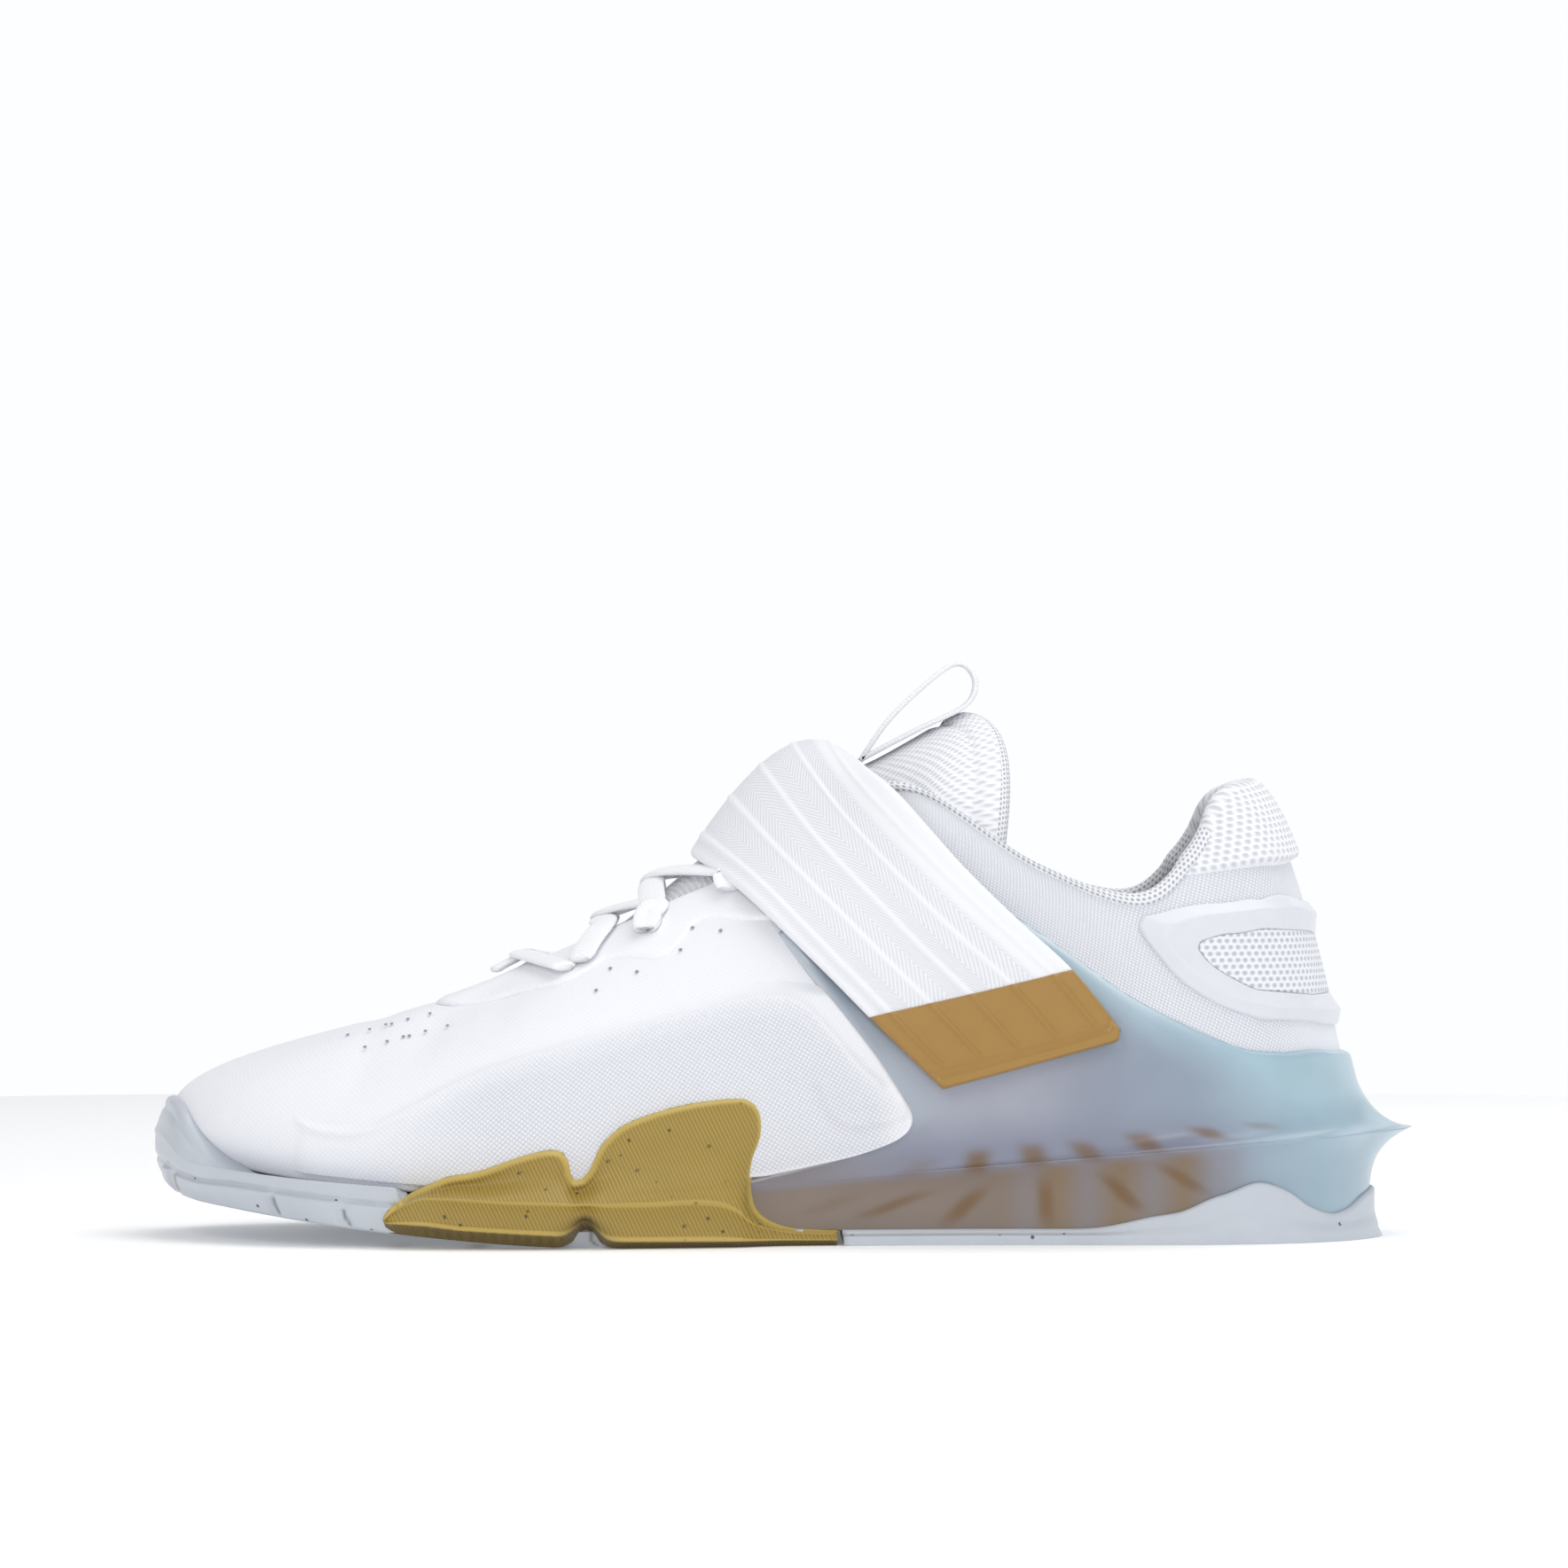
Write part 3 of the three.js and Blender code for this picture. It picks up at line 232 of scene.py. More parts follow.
SOLE_COLUMNS = {"ridge": 1, "waist": 2, "foot": 3, "belly": 4, "ground": 5, "bumper": 6}


def table_value(rows: np.ndarray, column: int, at: np.ndarray) -> np.ndarray:
    """Reads a column between rows with a soft step, with the first column as the key."""
    index = np.clip(np.searchsorted(rows[:, 0], at, side="right"), 1, len(rows) - 1)
    low, high = rows[index - 1], rows[index]
    return low[..., column] + (high[..., column] - low[..., column]) * smooth(low[..., 0], high[..., 0], at)


@dataclass
class Last:
    """The foot form that every part of the shoe is laid on."""

    length: float = 274
    ball_width: float = 100
    instep: float = 100
    toe_stack: float = 8
    forefoot_stack: float = 11
    heel_stack: float = 26
    toe_spring: float = 10
    spring_end: float = 0.35
    wedge_start: float = 0.3
    spring_power: float = 1.6
    wedge_power: float = 1.1
    clearance: float = 0.35
    upper_wall: float = 2
    rubber_plate: float = 3
    clip_wall: float = 2.4
    loop: np.ndarray = field(init=False)
    lengths: tuple = field(init=False)

    def __post_init__(self) -> None:
        """Works out the control points of every station and the cloth's own measures."""
        outer = self._controls_of(-1, slice(7, 11))
        inner = self._controls_of(1, slice(11, 15))
        self.loop = np.concatenate([outer, inner[HEEL - 1:0:-1]])
        stations = np.linspace(HEEL, HEEL + ROUND, 193)
        levels = np.linspace(0, 1, 41)
        grid = self.point(stations[:, None], levels[None, :])
        self.lengths = (stations, levels, arc(grid[:, 18]), arc_up(grid))

    def _controls_of(self, sign: int, widths: slice) -> np.ndarray:
        """The control points of one side of the foot."""
        x = STATIONS[:, :4] * self.length
        rise = np.hstack([np.zeros((len(STATIONS), 1)), STATIONS[:, 4:7]]) * self.instep
        return np.stack([x, sign * STATIONS[:, widths] * self.ball_width, self.bed(x) + rise], axis=-1)

    def floor(self, x: np.ndarray) -> np.ndarray:
        """Height of the sole's underside, which springs up at the toe."""
        along = np.clip(x / self.length + 0.5, -0.06, 1.06)
        lift = (np.maximum(0, self.spring_end - along) / self.spring_end) ** self.spring_power
        return self.toe_spring * lift

    def bed(self, x: np.ndarray) -> np.ndarray:
        """Height of the foot bed."""
        along = np.clip(x / self.length + 0.5, 0, 1)
        front = self.toe_stack + (self.forefoot_stack - self.toe_stack) * along / self.wedge_start
        rise = (np.maximum(0, along - self.wedge_start) / (1 - self.wedge_start)) ** self.wedge_power
        back = self.forefoot_stack + (self.heel_stack - self.forefoot_stack) * rise
        return self.floor(x) + np.where(along < self.wedge_start, front, back)

    def point(self, station: np.ndarray, level: np.ndarray) -> np.ndarray:
        """Places on the outer face of the upper."""
        station, level = np.broadcast_arrays(np.asarray(station, float), np.asarray(level, float))
        wrapped = np.mod(station, ROUND)
        index = np.floor(wrapped).astype(int)
        t = (wrapped - index)[..., None, None]
        knots = through(*(self.loop[(index + step) % ROUND] for step in (-1, 0, 1, 2)), t)
        low = 1 - level
        weights = np.stack([low**3, 3 * low**2 * level, 3 * low * level**2, level**3], axis=-1)
        return (knots * weights[..., None]).sum(axis=-2)

    def normal(self, station: np.ndarray, level: np.ndarray) -> np.ndarray:
        """Outward directions on the upper."""
        step = 0.01
        across = self.point(station + step, level) - self.point(station - step, level)
        above, below = np.clip(level + step, 0, 1), np.clip(level - step, 0, 1)
        up = self.point(station, above) - self.point(station, below)
        return unit(np.cross(across, up))

    def skin(self, station: np.ndarray, level: np.ndarray, offset: np.ndarray) -> np.ndarray:
        """Places set off from the upper, outward where the offset is positive."""
        station, level, offset = np.broadcast_arrays(station, level, offset)
        return self.point(station, level) + self.normal(station, level) * offset[..., None]

    def around(self, station: np.ndarray, reach: np.ndarray, height: np.ndarray) -> np.ndarray:
        """Places outside the feather line, seen from above, at heights of their own."""
        station, reach, height = np.broadcast_arrays(np.asarray(station, float), reach, height)
        ahead = self.point(station + 0.01, 0) - self.point(station - 0.01, 0)
        run = np.hypot(ahead[..., 0], ahead[..., 1])
        foot = self.point(station, 0)
        x = foot[..., 0] + ahead[..., 1] / run * reach
        y = foot[..., 1] - ahead[..., 0] / run * reach
        return np.stack([x, y, height], axis=-1)

    def level_at(self, station: np.ndarray, height: np.ndarray) -> np.ndarray:
        """The level at which the upper reaches a height."""
        low = np.zeros(np.broadcast(station, height).shape)
        high = np.ones_like(low)
        for _ in range(24):
            middle = (low + high) / 2
            below = self.point(station, middle)[..., 2] < height
            low, high = np.where(below, middle, low), np.where(below, high, middle)
        return (low + high) / 2

    def side(self, shares: list) -> np.ndarray:
        """Side view places in millimetres, from shares of the length and rises above the bed."""
        shares = np.asarray(shares, float)
        x = shares[:, 0] * self.length
        return np.stack([x, self.bed(x) + shares[:, 1] * self.instep], axis=1)

    def find(self, places: np.ndarray, start: np.ndarray | None = None) -> np.ndarray:
        """Stations and levels on the outer side of places in the side view.

        Args:
            places: x and z of each place.
            start: First guesses of station and level.

        Returns:
            Station and level of each place.
        """
        if start is None:
            s, l = np.meshgrid(np.linspace(0.3, 11.9, 150), np.linspace(0, 1, 50), indexing="ij")
            grid = self.point(s, l)
            gap = np.hypot(grid[..., 0].ravel() - places[:, :1], grid[..., 2].ravel() - places[:, 1:])
            best = gap.argmin(axis=1)
            start = np.stack([s.ravel()[best], l.ravel()[best]], axis=1)
        found = start.copy()
        for _ in range(8):
            s, l = found[..., 0], found[..., 1]
            here = self.point(s, l)[..., [0, 2]]
            ds = (self.point(s + 0.01, l)[..., [0, 2]] - here) / 0.01
            dl = (self.point(s, l + 0.01)[..., [0, 2]] - here) / 0.01
            miss = places - here
            det = ds[..., 0] * dl[..., 1] - ds[..., 1] * dl[..., 0]
            det = np.where(np.abs(det) < 1e-3, 1e-3, det)
            step = np.stack([(miss[..., 0] * dl[..., 1] - miss[..., 1] * dl[..., 0]) / det,
                             (ds[..., 0] * miss[..., 1] - ds[..., 1] * miss[..., 0]) / det], axis=-1)
            found = found + np.clip(step, -0.3, 0.3)
            found[..., 0] = np.clip(found[..., 0], 0.1, 11.95)
            found[..., 1] = np.clip(found[..., 1], 0, 1)
        return found

    def cloth(self, station: np.ndarray, level: np.ndarray) -> np.ndarray:
        """Unrolled places on the upper, for a weave that follows it."""
        stations, levels, around, up = self.lengths
        station, level = np.broadcast_arrays(station, level)
        wrapped = np.where(station < HEEL, station + ROUND, station)
        at = np.clip((wrapped - HEEL) / (stations[1] - stations[0]), 0, len(stations) - 1.001)
        rise = np.clip(level, 0, 1) * (len(levels) - 1)
        return np.stack([np.interp(wrapped, stations, around), between(up, at, rise)], axis=-1)

    def sole(self, station: np.ndarray, column: str) -> np.ndarray:
        """One named width of the sole round the foot, in millimetres."""
        wrapped = np.mod(station, ROUND)
        index = SOLE_COLUMNS[column]
        outer = table_value(SOLE_OUTER, index, wrapped)
        inner = table_value(SOLE_INNER, index, ROUND - wrapped)
        return np.where(wrapped <= HEEL, outer, inner) * self.ball_width

    def midsole_foot(self, x: np.ndarray) -> np.ndarray:
        """Height of the wedge's lower edge."""
        return self.floor(x) + self.rubber_plate + self.clearance

    def midsole_reach(self, station: np.ndarray, share: np.ndarray) -> np.ndarray:
        """Reach of the wedge's side between its lower edge at 0 and its ridge at 1."""
        foot, waist, ridge = (self.sole(station, name) for name in ("foot", "waist", "ridge"))
        return foot + (waist - foot) * share + (ridge - waist) * share**5

    def spine(self, station: np.ndarray) -> np.ndarray:
        """The middle of the foot, seen from above."""
        wrapped = np.mod(station, ROUND)
        outer = np.clip(np.where(wrapped <= HEEL, wrapped, ROUND - wrapped), 0.9, HEEL - 0.9)
        return (self.point(outer, 0) + self.point(ROUND - outer, 0)) / 2

    def below_edge(self, station: np.ndarray, distance: float) -> np.ndarray:
        """The level a distance below the top line."""
        levels = np.linspace(1, 0.5, 61)
        run = arc(self.point(np.ravel(station)[None], levels[:, None]))
        found = [np.interp(distance, run[:, k], levels) for k in range(run.shape[1])]
        return np.array(found).reshape(np.shape(station))

    def over_edge(self, station: np.ndarray, low: np.ndarray, path: np.ndarray,
                  offset: np.ndarray) -> np.ndarray:
        """Places on a path over the top line: 0 to 1 climbs outside, 1 to 2 rounds it, 2 to 3 is inside."""
        station, low, path, offset = np.broadcast_arrays(station, low, path, offset)
        outside = self.skin(station, low + (1 - low) * np.clip(path, 0, 1), offset)
        inside = self.skin(station, 1 + (low - 1) * np.clip(path - 2, 0, 1), -self.upper_wall - offset)
        one = np.ones_like(path)
        outward = self.normal(station, one)
        upward = unit(self.point(station, one) - self.point(station, one * 0.98))
        turn = ((path - 1) * np.pi)[..., None]
        radius = (self.upper_wall / 2 + offset)[..., None]
        middle = self.skin(station, one, -self.upper_wall / 2 * one)
        over = middle + (outward * np.cos(turn) + upward * np.sin(turn)) * radius
        return np.where((path < 1)[..., None], outside, np.where((path > 2)[..., None], inside, over))


# Meshes


def lay(name: str, points: np.ndarray, uv: np.ndarray | None = None, layers: dict | None = None,
        closed: bool = True) -> bpy.types.Object:
    """Lays a grid of faces on given places and closes it.

    Args:
        name: The piece's name.
        points: Places in millimetres, as columns by rows by 3.
        uv: The cloth's own measures, as columns by rows by 2.
        layers: Painted amounts by name, as columns by rows.
        closed: Whether open ends are filled and faces turned outward.

    Returns:
        The object, at the origin.
    """
    columns, rows = points.shape[0] - 1, points.shape[1] - 1
    form = bmesh.new()
    bmesh.ops.create_grid(form, x_segments=columns, y_segments=rows, size=1)
    mesh = bpy.data.meshes.new(name)
    form.to_mesh(mesh)
    form.free()
    flat = np.empty(len(mesh.vertices) * 3)
    mesh.vertices.foreach_get("co", flat)
    flat = flat.reshape(-1, 3)
    i = np.rint((flat[:, 0] + 1) / 2 * columns).astype(int)
    j = np.rint((flat[:, 1] + 1) / 2 * rows).astype(int)
    mesh.vertices.foreach_set("co", (points[i, j] * MM).ravel())
    if uv is not None:
        corner = np.empty(len(mesh.loops), int)
        mesh.loops.foreach_get("vertex_index", corner)
        mesh.uv_layers.new(name="Cloth")
        mesh.uv_layers["Cloth"].data.foreach_set("uv", (uv[i, j][corner] * MM).ravel())
    for key, amounts in (layers or {}).items():
        paint = mesh.attributes.new(key, "FLOAT", "POINT")
        amounts = np.broadcast_to(amounts, points.shape[:2])
        paint.data.foreach_set("value", amounts[i, j].astype(np.float32))
    return tidy(mesh, closed)


def tidy(mesh: bpy.types.Mesh, closed: bool = True) -> bpy.types.Object:
    """Merges doubled points, closes open ends and shades smooth."""
    form = bmesh.new()
    form.from_mesh(mesh)
    bmesh.ops.remove_doubles(form, verts=form.verts, dist=2e-6)
    bmesh.ops.dissolve_degenerate(form, edges=form.edges, dist=1e-7)
    if closed:
        bmesh.ops.holes_fill(form, edges=[edge for edge in form.edges if edge.is_boundary])
        bmesh.ops.triangulate(form, faces=[face for face in form.faces if len(face.verts) > 4])
        bmesh.ops.recalc_face_normals(form, faces=form.faces)
    form.to_mesh(mesh)
    form.free()
    mesh.polygons.foreach_set("use_smooth", [True] * len(mesh.polygons))
    piece = bpy.data.objects.new(mesh.name, mesh)
    bpy.context.scene.collection.objects.link(piece)
    return piece


def joined(name: str, parts: list[bpy.types.Object]) -> bpy.types.Object:
    """One object from several that share their layers."""
    form = bmesh.new()
    for part in parts:
        form.from_mesh(part.data)
    mesh = bpy.data.meshes.new(name)
    form.to_mesh(mesh)
    form.free()
    for part in parts:
        bpy.data.meshes.remove(part.data)
    piece = bpy.data.objects.new(name, mesh)
    bpy.context.scene.collection.objects.link(piece)
    return piece


def set_piece(piece: bpy.types.Object, material: bpy.types.Material, slot: str,
              *nodes: str) -> bpy.types.Object:
    """Gives a piece its finish, its body and the nodes that it stands for."""
    piece.data.materials.clear()
    piece.data.materials.append(material)
    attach(piece, "root")
    if nodes:
        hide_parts(*nodes)
    log.info("%s: %d faces", piece.name, len(piece.data.polygons))
    return piece


def band(name: str, face: np.ndarray, thickness: np.ndarray, uv: np.ndarray, sink: float = 0.0,
         layers: dict | None = None) -> bpy.types.Object:
    """A closed band on a grid of places: its top at a thickness above the face, its underside at the sink.

    Args:
        name: The piece's name.
        face: Places, as columns by rows by 3.
        thickness: Height of the top over the face at each place.
        uv: The cloth's own measures at each place.
        sink: How far the underside lies under the face.
        layers: Painted amounts by name at each place.

    Returns:
        The closed object.
    """
    along = np.gradient(face, axis=0)
    across = np.gradient(face, axis=1)
    normal = unit(np.cross(along, across))
    top = face + normal * thickness[..., None]
    under = (face - normal * sink)[:, ::-1]
    points = folded(top, under)
    cloth = folded(uv)
    wrap = {key: folded(value)
            for key, value in (layers or {}).items()}
    return lay(name, points, cloth, wrap)


# Finishes


def linear(code: str) -> tuple[float, float, float, float]:
    """An sRGB hex colour as linear light."""
    parts = [int(code[k:k + 2], 16) / 255 for k in (1, 3, 5)]
    return (*[p / 12.92 if p <= 0.04045 else ((p + 0.055) / 1.055) ** 2.4 for p in parts], 1.0)


def add_node(tree: bpy.types.NodeTree, kind: str, inputs: dict | None = None, **settings) -> bpy.types.Node:
    """Adds a node, with its settings and with a value or a link for each named input."""
    made = tree.nodes.new(kind)
    for key, value in settings.items():
        setattr(made, key, value)
    for key, value in (inputs or {}).items():
        if isinstance(value, bpy.types.NodeSocket):
            tree.links.new(value, made.inputs[key])
        else:
            made.inputs[key].default_value = value
    return made


def maths(tree: bpy.types.NodeTree, operation: str, *values) -> bpy.types.NodeSocket:
    """The result of a sum on values or links."""
    return add_node(tree, "ShaderNodeMath", dict(enumerate(values)), operation=operation).outputs[0]


def two_tone(tree: bpy.types.NodeTree, share, low, high) -> bpy.types.NodeSocket:
    """A colour between two, by a share."""
    return add_node(tree, "ShaderNodeMix", {0: share, 6: low, 7: high}, data_type="RGBA").outputs[2]


def raise_face(tree: bpy.types.NodeTree, shader: bpy.types.Node, height: bpy.types.NodeSocket,
               distance: float, strength: float, invert: bool = False) -> None:
    """Lets a pattern raise the face by a distance in metres, or press it in where inverted."""
    bump = add_node(tree, "ShaderNodeBump", {"Height": height, "Distance": distance, "Strength": strength},
                    invert=invert)
    tree.links.new(bump.outputs["Normal"], shader.inputs["Normal"])


def darker(colour: tuple, share: float) -> tuple:
    """A linear colour at a share of its light."""
    return (*[c * share for c in colour[:3]], 1.0)


WAVE = math.pi / 10  # period of a wave texture at scale 1


@dataclass(frozen=True)
class Finish:
    """A finish with one colour. Its own detail comes from dress."""

    name: str
    colour: str
    roughness: float = 0.5
    coat: float = 0.0
    sheen: float = 0.0
    subsurface: float = 0.0
    glow: float = 0.0

    def material(self) -> bpy.types.Material:
        """Makes the material and its node tree."""
        made = bpy.data.materials.new(self.name)
        made.use_nodes = True
        tree = made.node_tree
        shader = tree.nodes["Principled BSDF"]
        shader.inputs["Base Color"].default_value = linear(self.colour)
        shader.inputs["Roughness"].default_value = self.roughness
        shader.inputs["Coat Weight"].default_value = self.coat
        shader.inputs["Coat Roughness"].default_value = 0.2
        shader.inputs["Sheen Weight"].default_value = self.sheen
        if self.glow:
            shader.inputs["Emission Color"].default_value = linear(self.colour)
            shader.inputs["Emission Strength"].default_value = self.glow
        if self.subsurface:
            shader.inputs["Subsurface Weight"].default_value = self.subsurface
            shader.inputs["Subsurface Radius"].default_value = (1.0, 1.0, 1.0)
            shader.inputs["Subsurface Scale"].default_value = 0.003
        self.dress(tree, shader)
        return made

    def dress(self, tree: bpy.types.NodeTree, shader: bpy.types.Node) -> None:
        """Adds the finish's own pattern."""
        self.speckle(tree, shader, linear(self.colour), 0.03, 0.004)

    def speckle(self, tree: bpy.types.NodeTree, shader: bpy.types.Node, base: tuple, strength: float,
                size: float) -> bpy.types.NodeSocket:
        """Adds faint unevenness of colour and a soft grain bump, and returns the grain."""
        place = add_node(tree, "ShaderNodeTexCoord")
        grain = add_node(tree, "ShaderNodeTexNoise",
                         {"Vector": place.outputs["Object"], "Scale": 1 / size, "Detail": 3.0})
        dark = darker(base, (1 - strength * 2))
        tone = two_tone(tree, grain.outputs["Fac"], dark, base)
        tree.links.new(tone, shader.inputs["Base Color"])
        raise_face(tree, shader, grain.outputs["Fac"], 0.0001, strength * 4)
        return grain.outputs["Fac"]


@dataclass(frozen=True)
class WovenCloth(Finish):
    """Plain-woven polyester: small round crossings with dark gaps between them.

    The real threads lie about 0.6 mm apart. They are drawn coarser, so that they show.
    """

    gap: str = "#cdd0d8"
    pitch: float = 0.85
    turn: float = 35.0
    depth: float = 0.00012
    boldness: str = ""

    def dress(self, tree: bpy.types.NodeTree, shader: bpy.types.Node) -> None:
        """Adds the weave."""
        place = add_node(tree, "ShaderNodeUVMap", uv_map="Cloth")
        turned = add_node(tree, "ShaderNodeMapping", {"Vector": place.outputs["UV"],
                                                      "Rotation": (0, 0, math.radians(self.turn))})
        waves = [add_node(tree, "ShaderNodeTexWave", {"Vector": turned.outputs["Vector"],
                                                      "Scale": WAVE / (self.pitch * MM)},
                          wave_type="BANDS", bands_direction=axis) for axis in ("X", "Y")]
        crossing = maths(tree, "MULTIPLY", waves[0].outputs["Fac"], waves[1].outputs["Fac"])
        rise = maths(tree, "POWER", crossing, 0.5)
        amount = rise
        if self.boldness:
            paint = add_node(tree, "ShaderNodeAttribute", attribute_name=self.boldness)
            inverse = maths(tree, "SUBTRACT", 1.0, amount)
            shown = maths(tree, "MULTIPLY", inverse, paint.outputs["Fac"])
            amount = maths(tree, "SUBTRACT", 1.0, shown)
        tone = two_tone(tree, amount, linear(self.gap), linear(self.colour))
        tree.links.new(tone, shader.inputs["Base Color"])
        raise_face(tree, shader, amount, self.depth, 1.0)


@dataclass(frozen=True)
class Rubber(Finish):
    """Moulded rubber: satin faces, a few dark recycled specks, fine slanted ribs on the outrigger, a painted
    highlight along the outrigger's edges and painted shade.
    """

    speck: str = "#5a5f66"
    specks: float = 0.15
    rib_pitch: float = 0.0
    # Colour of the painted highlight along the outrigger's edges, used where the rim amount is low.
    rim: str = ""

    def dress(self, tree: bpy.types.NodeTree, shader: bpy.types.Node) -> None:
        """Adds unevenness, specks, ribs, the painted highlight where the rim amount is low and the painted
        shade.
        """
        place = add_node(tree, "ShaderNodeTexCoord")
        cloud = add_node(tree, "ShaderNodeTexNoise",
                         {"Vector": place.outputs["Object"], "Scale": 60.0, "Detail": 3.0})
        base = linear(self.colour)
        dark = darker(base, 0.86)
        tone = two_tone(tree, cloud.outputs["Fac"], dark, base)
        cells = add_node(tree, "ShaderNodeTexVoronoi", {"Vector": place.outputs["Object"], "Scale": 260.0})
        near = maths(tree, "LESS_THAN", cells.outputs["Distance"], 0.13)
        pick = add_node(tree, "ShaderNodeSeparateColor", {"Color": cells.outputs["Color"]})
        few = maths(tree, "LESS_THAN", pick.outputs["Red"], self.specks)
        speck = maths(tree, "MULTIPLY", near, few)
        colour = two_tone(tree, speck, tone, linear(self.speck))
        grain = add_node(tree, "ShaderNodeTexNoise", {"Vector": place.outputs["Object"], "Scale": 900.0})
        height, distance = grain.outputs["Fac"], 0.00003
        if self.rib_pitch:
            turned = add_node(tree, "ShaderNodeMapping", {"Vector": place.outputs["Object"],
                                                          "Rotation": (0, math.radians(26), 0)})
            ribs = add_node(tree, "ShaderNodeTexWave", {"Vector": turned.outputs["Vector"],
                                                        "Scale": WAVE / (self.rib_pitch * MM)},
                            wave_type="BANDS", bands_direction="X")
            # The rim amount is 1 where the ribs show and falls toward the edges, where the lighter painted
            # highlight lies.
            paint = add_node(tree, "ShaderNodeAttribute", attribute_name="rim")
            shown = maths(tree, "MULTIPLY", ribs.outputs["Fac"], paint.outputs["Fac"])
            lined = two_tone(tree, shown, colour, darker(base, 0.62))
            colour = two_tone(tree, paint.outputs["Fac"], linear(self.rim), lined)
            height, distance = shown, 0.00016
        # Painted shade: the shade amount darkens the colour in notches, in the arch hollow and on faces
        # underneath.
        hidden = add_node(tree, "ShaderNodeAttribute", attribute_name="shade")
        painted_shade_tone = two_tone(tree, hidden.outputs["Fac"], colour, darker(base, 0.2))
        tree.links.new(painted_shade_tone, shader.inputs["Base Color"])
        raise_face(tree, shader, height, distance, 0.8, invert=bool(self.rib_pitch))


@dataclass(frozen=True)
class FrostedResin(Finish):
    """Cast translucent polyurethane: milky grey-blue, clearer and bluer where it is thick at the back,
    with gold bars inside that its haze blurs."""

    ice: str = "#a3bfcb"
    tan: str = "#7f694b"
    bar: str = "#705023"
    veil: str = "#eef1f6"

    def dress(self, tree: bpy.types.NodeTree, shader: bpy.types.Node) -> None:
        """Mixes the painted amounts of each tint."""
        tone = linear(self.colour)
        for key, code in (("ice", self.ice), ("tan", self.tan), ("bar", self.bar), ("veil", self.veil)):
            paint = add_node(tree, "ShaderNodeAttribute", attribute_name=key)
            tone = two_tone(tree, paint.outputs["Fac"], tone, linear(code))
        place = add_node(tree, "ShaderNodeTexCoord")
        haze = add_node(tree, "ShaderNodeTexNoise",
                        {"Vector": place.outputs["Object"], "Scale": 45.0, "Detail": 2.0})
        level = add_node(tree, "ShaderNodeMapRange", {"Value": haze.outputs["Fac"], "From Min": 0.3,
                                                      "From Max": 0.7, "To Min": 0.93, "To Max": 1.05})
        toned = add_node(tree, "ShaderNodeVectorMath", {0: tone, "Scale": level.outputs["Result"]},
                         operation="SCALE")
        tree.links.new(toned.outputs["Vector"], shader.inputs["Base Color"])


@dataclass(frozen=True)
class Webbing(Finish):
    """Heavy polyester strap webbing: herringbone ribs in five lengthwise panels, with smooth borders."""

    gap: str = "#dadce3"
    pitch: float = 0.75
    panel: float = 8.4

    def dress(self, tree: bpy.types.NodeTree, shader: bpy.types.Node) -> None:
        """Adds the herringbone."""
        place = add_node(tree, "ShaderNodeUVMap", uv_map="Cloth")
        parts = add_node(tree, "ShaderNodeSeparateXYZ", {"Vector": place.outputs["UV"]})
        fold = maths(tree, "PINGPONG", parts.outputs["Y"], self.panel * MM)
        slant = maths(tree, "MULTIPLY", fold, 1.9)
        joined_run = maths(tree, "ADD", parts.outputs["X"], slant)
        line = add_node(tree, "ShaderNodeCombineXYZ", {"X": joined_run})
        ribs = add_node(tree, "ShaderNodeTexWave", {"Vector": line.outputs["Vector"],
                                                    "Scale": WAVE / (self.pitch * 2.1 * MM)},
                        wave_type="BANDS", bands_direction="X")
        paint = add_node(tree, "ShaderNodeAttribute", attribute_name="plain")
        inverse = maths(tree, "SUBTRACT", 1.0, ribs.outputs["Fac"])
        shown = maths(tree, "MULTIPLY", inverse, paint.outputs["Fac"])
        tone = two_tone(tree, shown, linear(self.colour), linear(self.gap))
        tree.links.new(tone, shader.inputs["Base Color"])
        raise_face(tree, shader, shown, 0.0001, 0.8, invert=True)


@dataclass(frozen=True)
class KnitCloth(Finish):
    """Spacer knit: a thick pale face with staggered rows of shaded pits."""

    gap: str = "#b9bdc8"
    across: float = 2.6
    along: float = 2.0
    depth: float = 0.0003

    def dress(self, tree: bpy.types.NodeTree, shader: bpy.types.Node) -> None:
        """Adds the cells, each second row moved by half."""
        place = add_node(tree, "ShaderNodeUVMap", uv_map="Cloth")
        size = add_node(tree, "ShaderNodeMapping",
                        {"Vector": place.outputs["UV"],
                         "Scale": (1 / (self.across * MM), 1 / (self.along * MM), 1)})
        parts = add_node(tree, "ShaderNodeSeparateXYZ", {"Vector": size.outputs["Vector"]})
        row = maths(tree, "FLOOR", parts.outputs["Y"])
        half = maths(tree, "MULTIPLY", row, 0.5)
        moved = maths(tree, "ADD", parts.outputs["X"], half)
        sines = []
        for value in (moved, parts.outputs["Y"]):
            angle = maths(tree, "MULTIPLY", value, math.pi)
            sine = maths(tree, "SINE", angle)
            sines.append(maths(tree, "ABSOLUTE", sine))
        cell = maths(tree, "MULTIPLY", sines[0], sines[1])
        pit = maths(tree, "POWER", cell, 2.0)
        tone = two_tone(tree, pit, linear(self.colour), linear(self.gap))
        tree.links.new(tone, shader.inputs["Base Color"])
        raise_face(tree, shader, pit, self.depth, 1.0, invert=True)


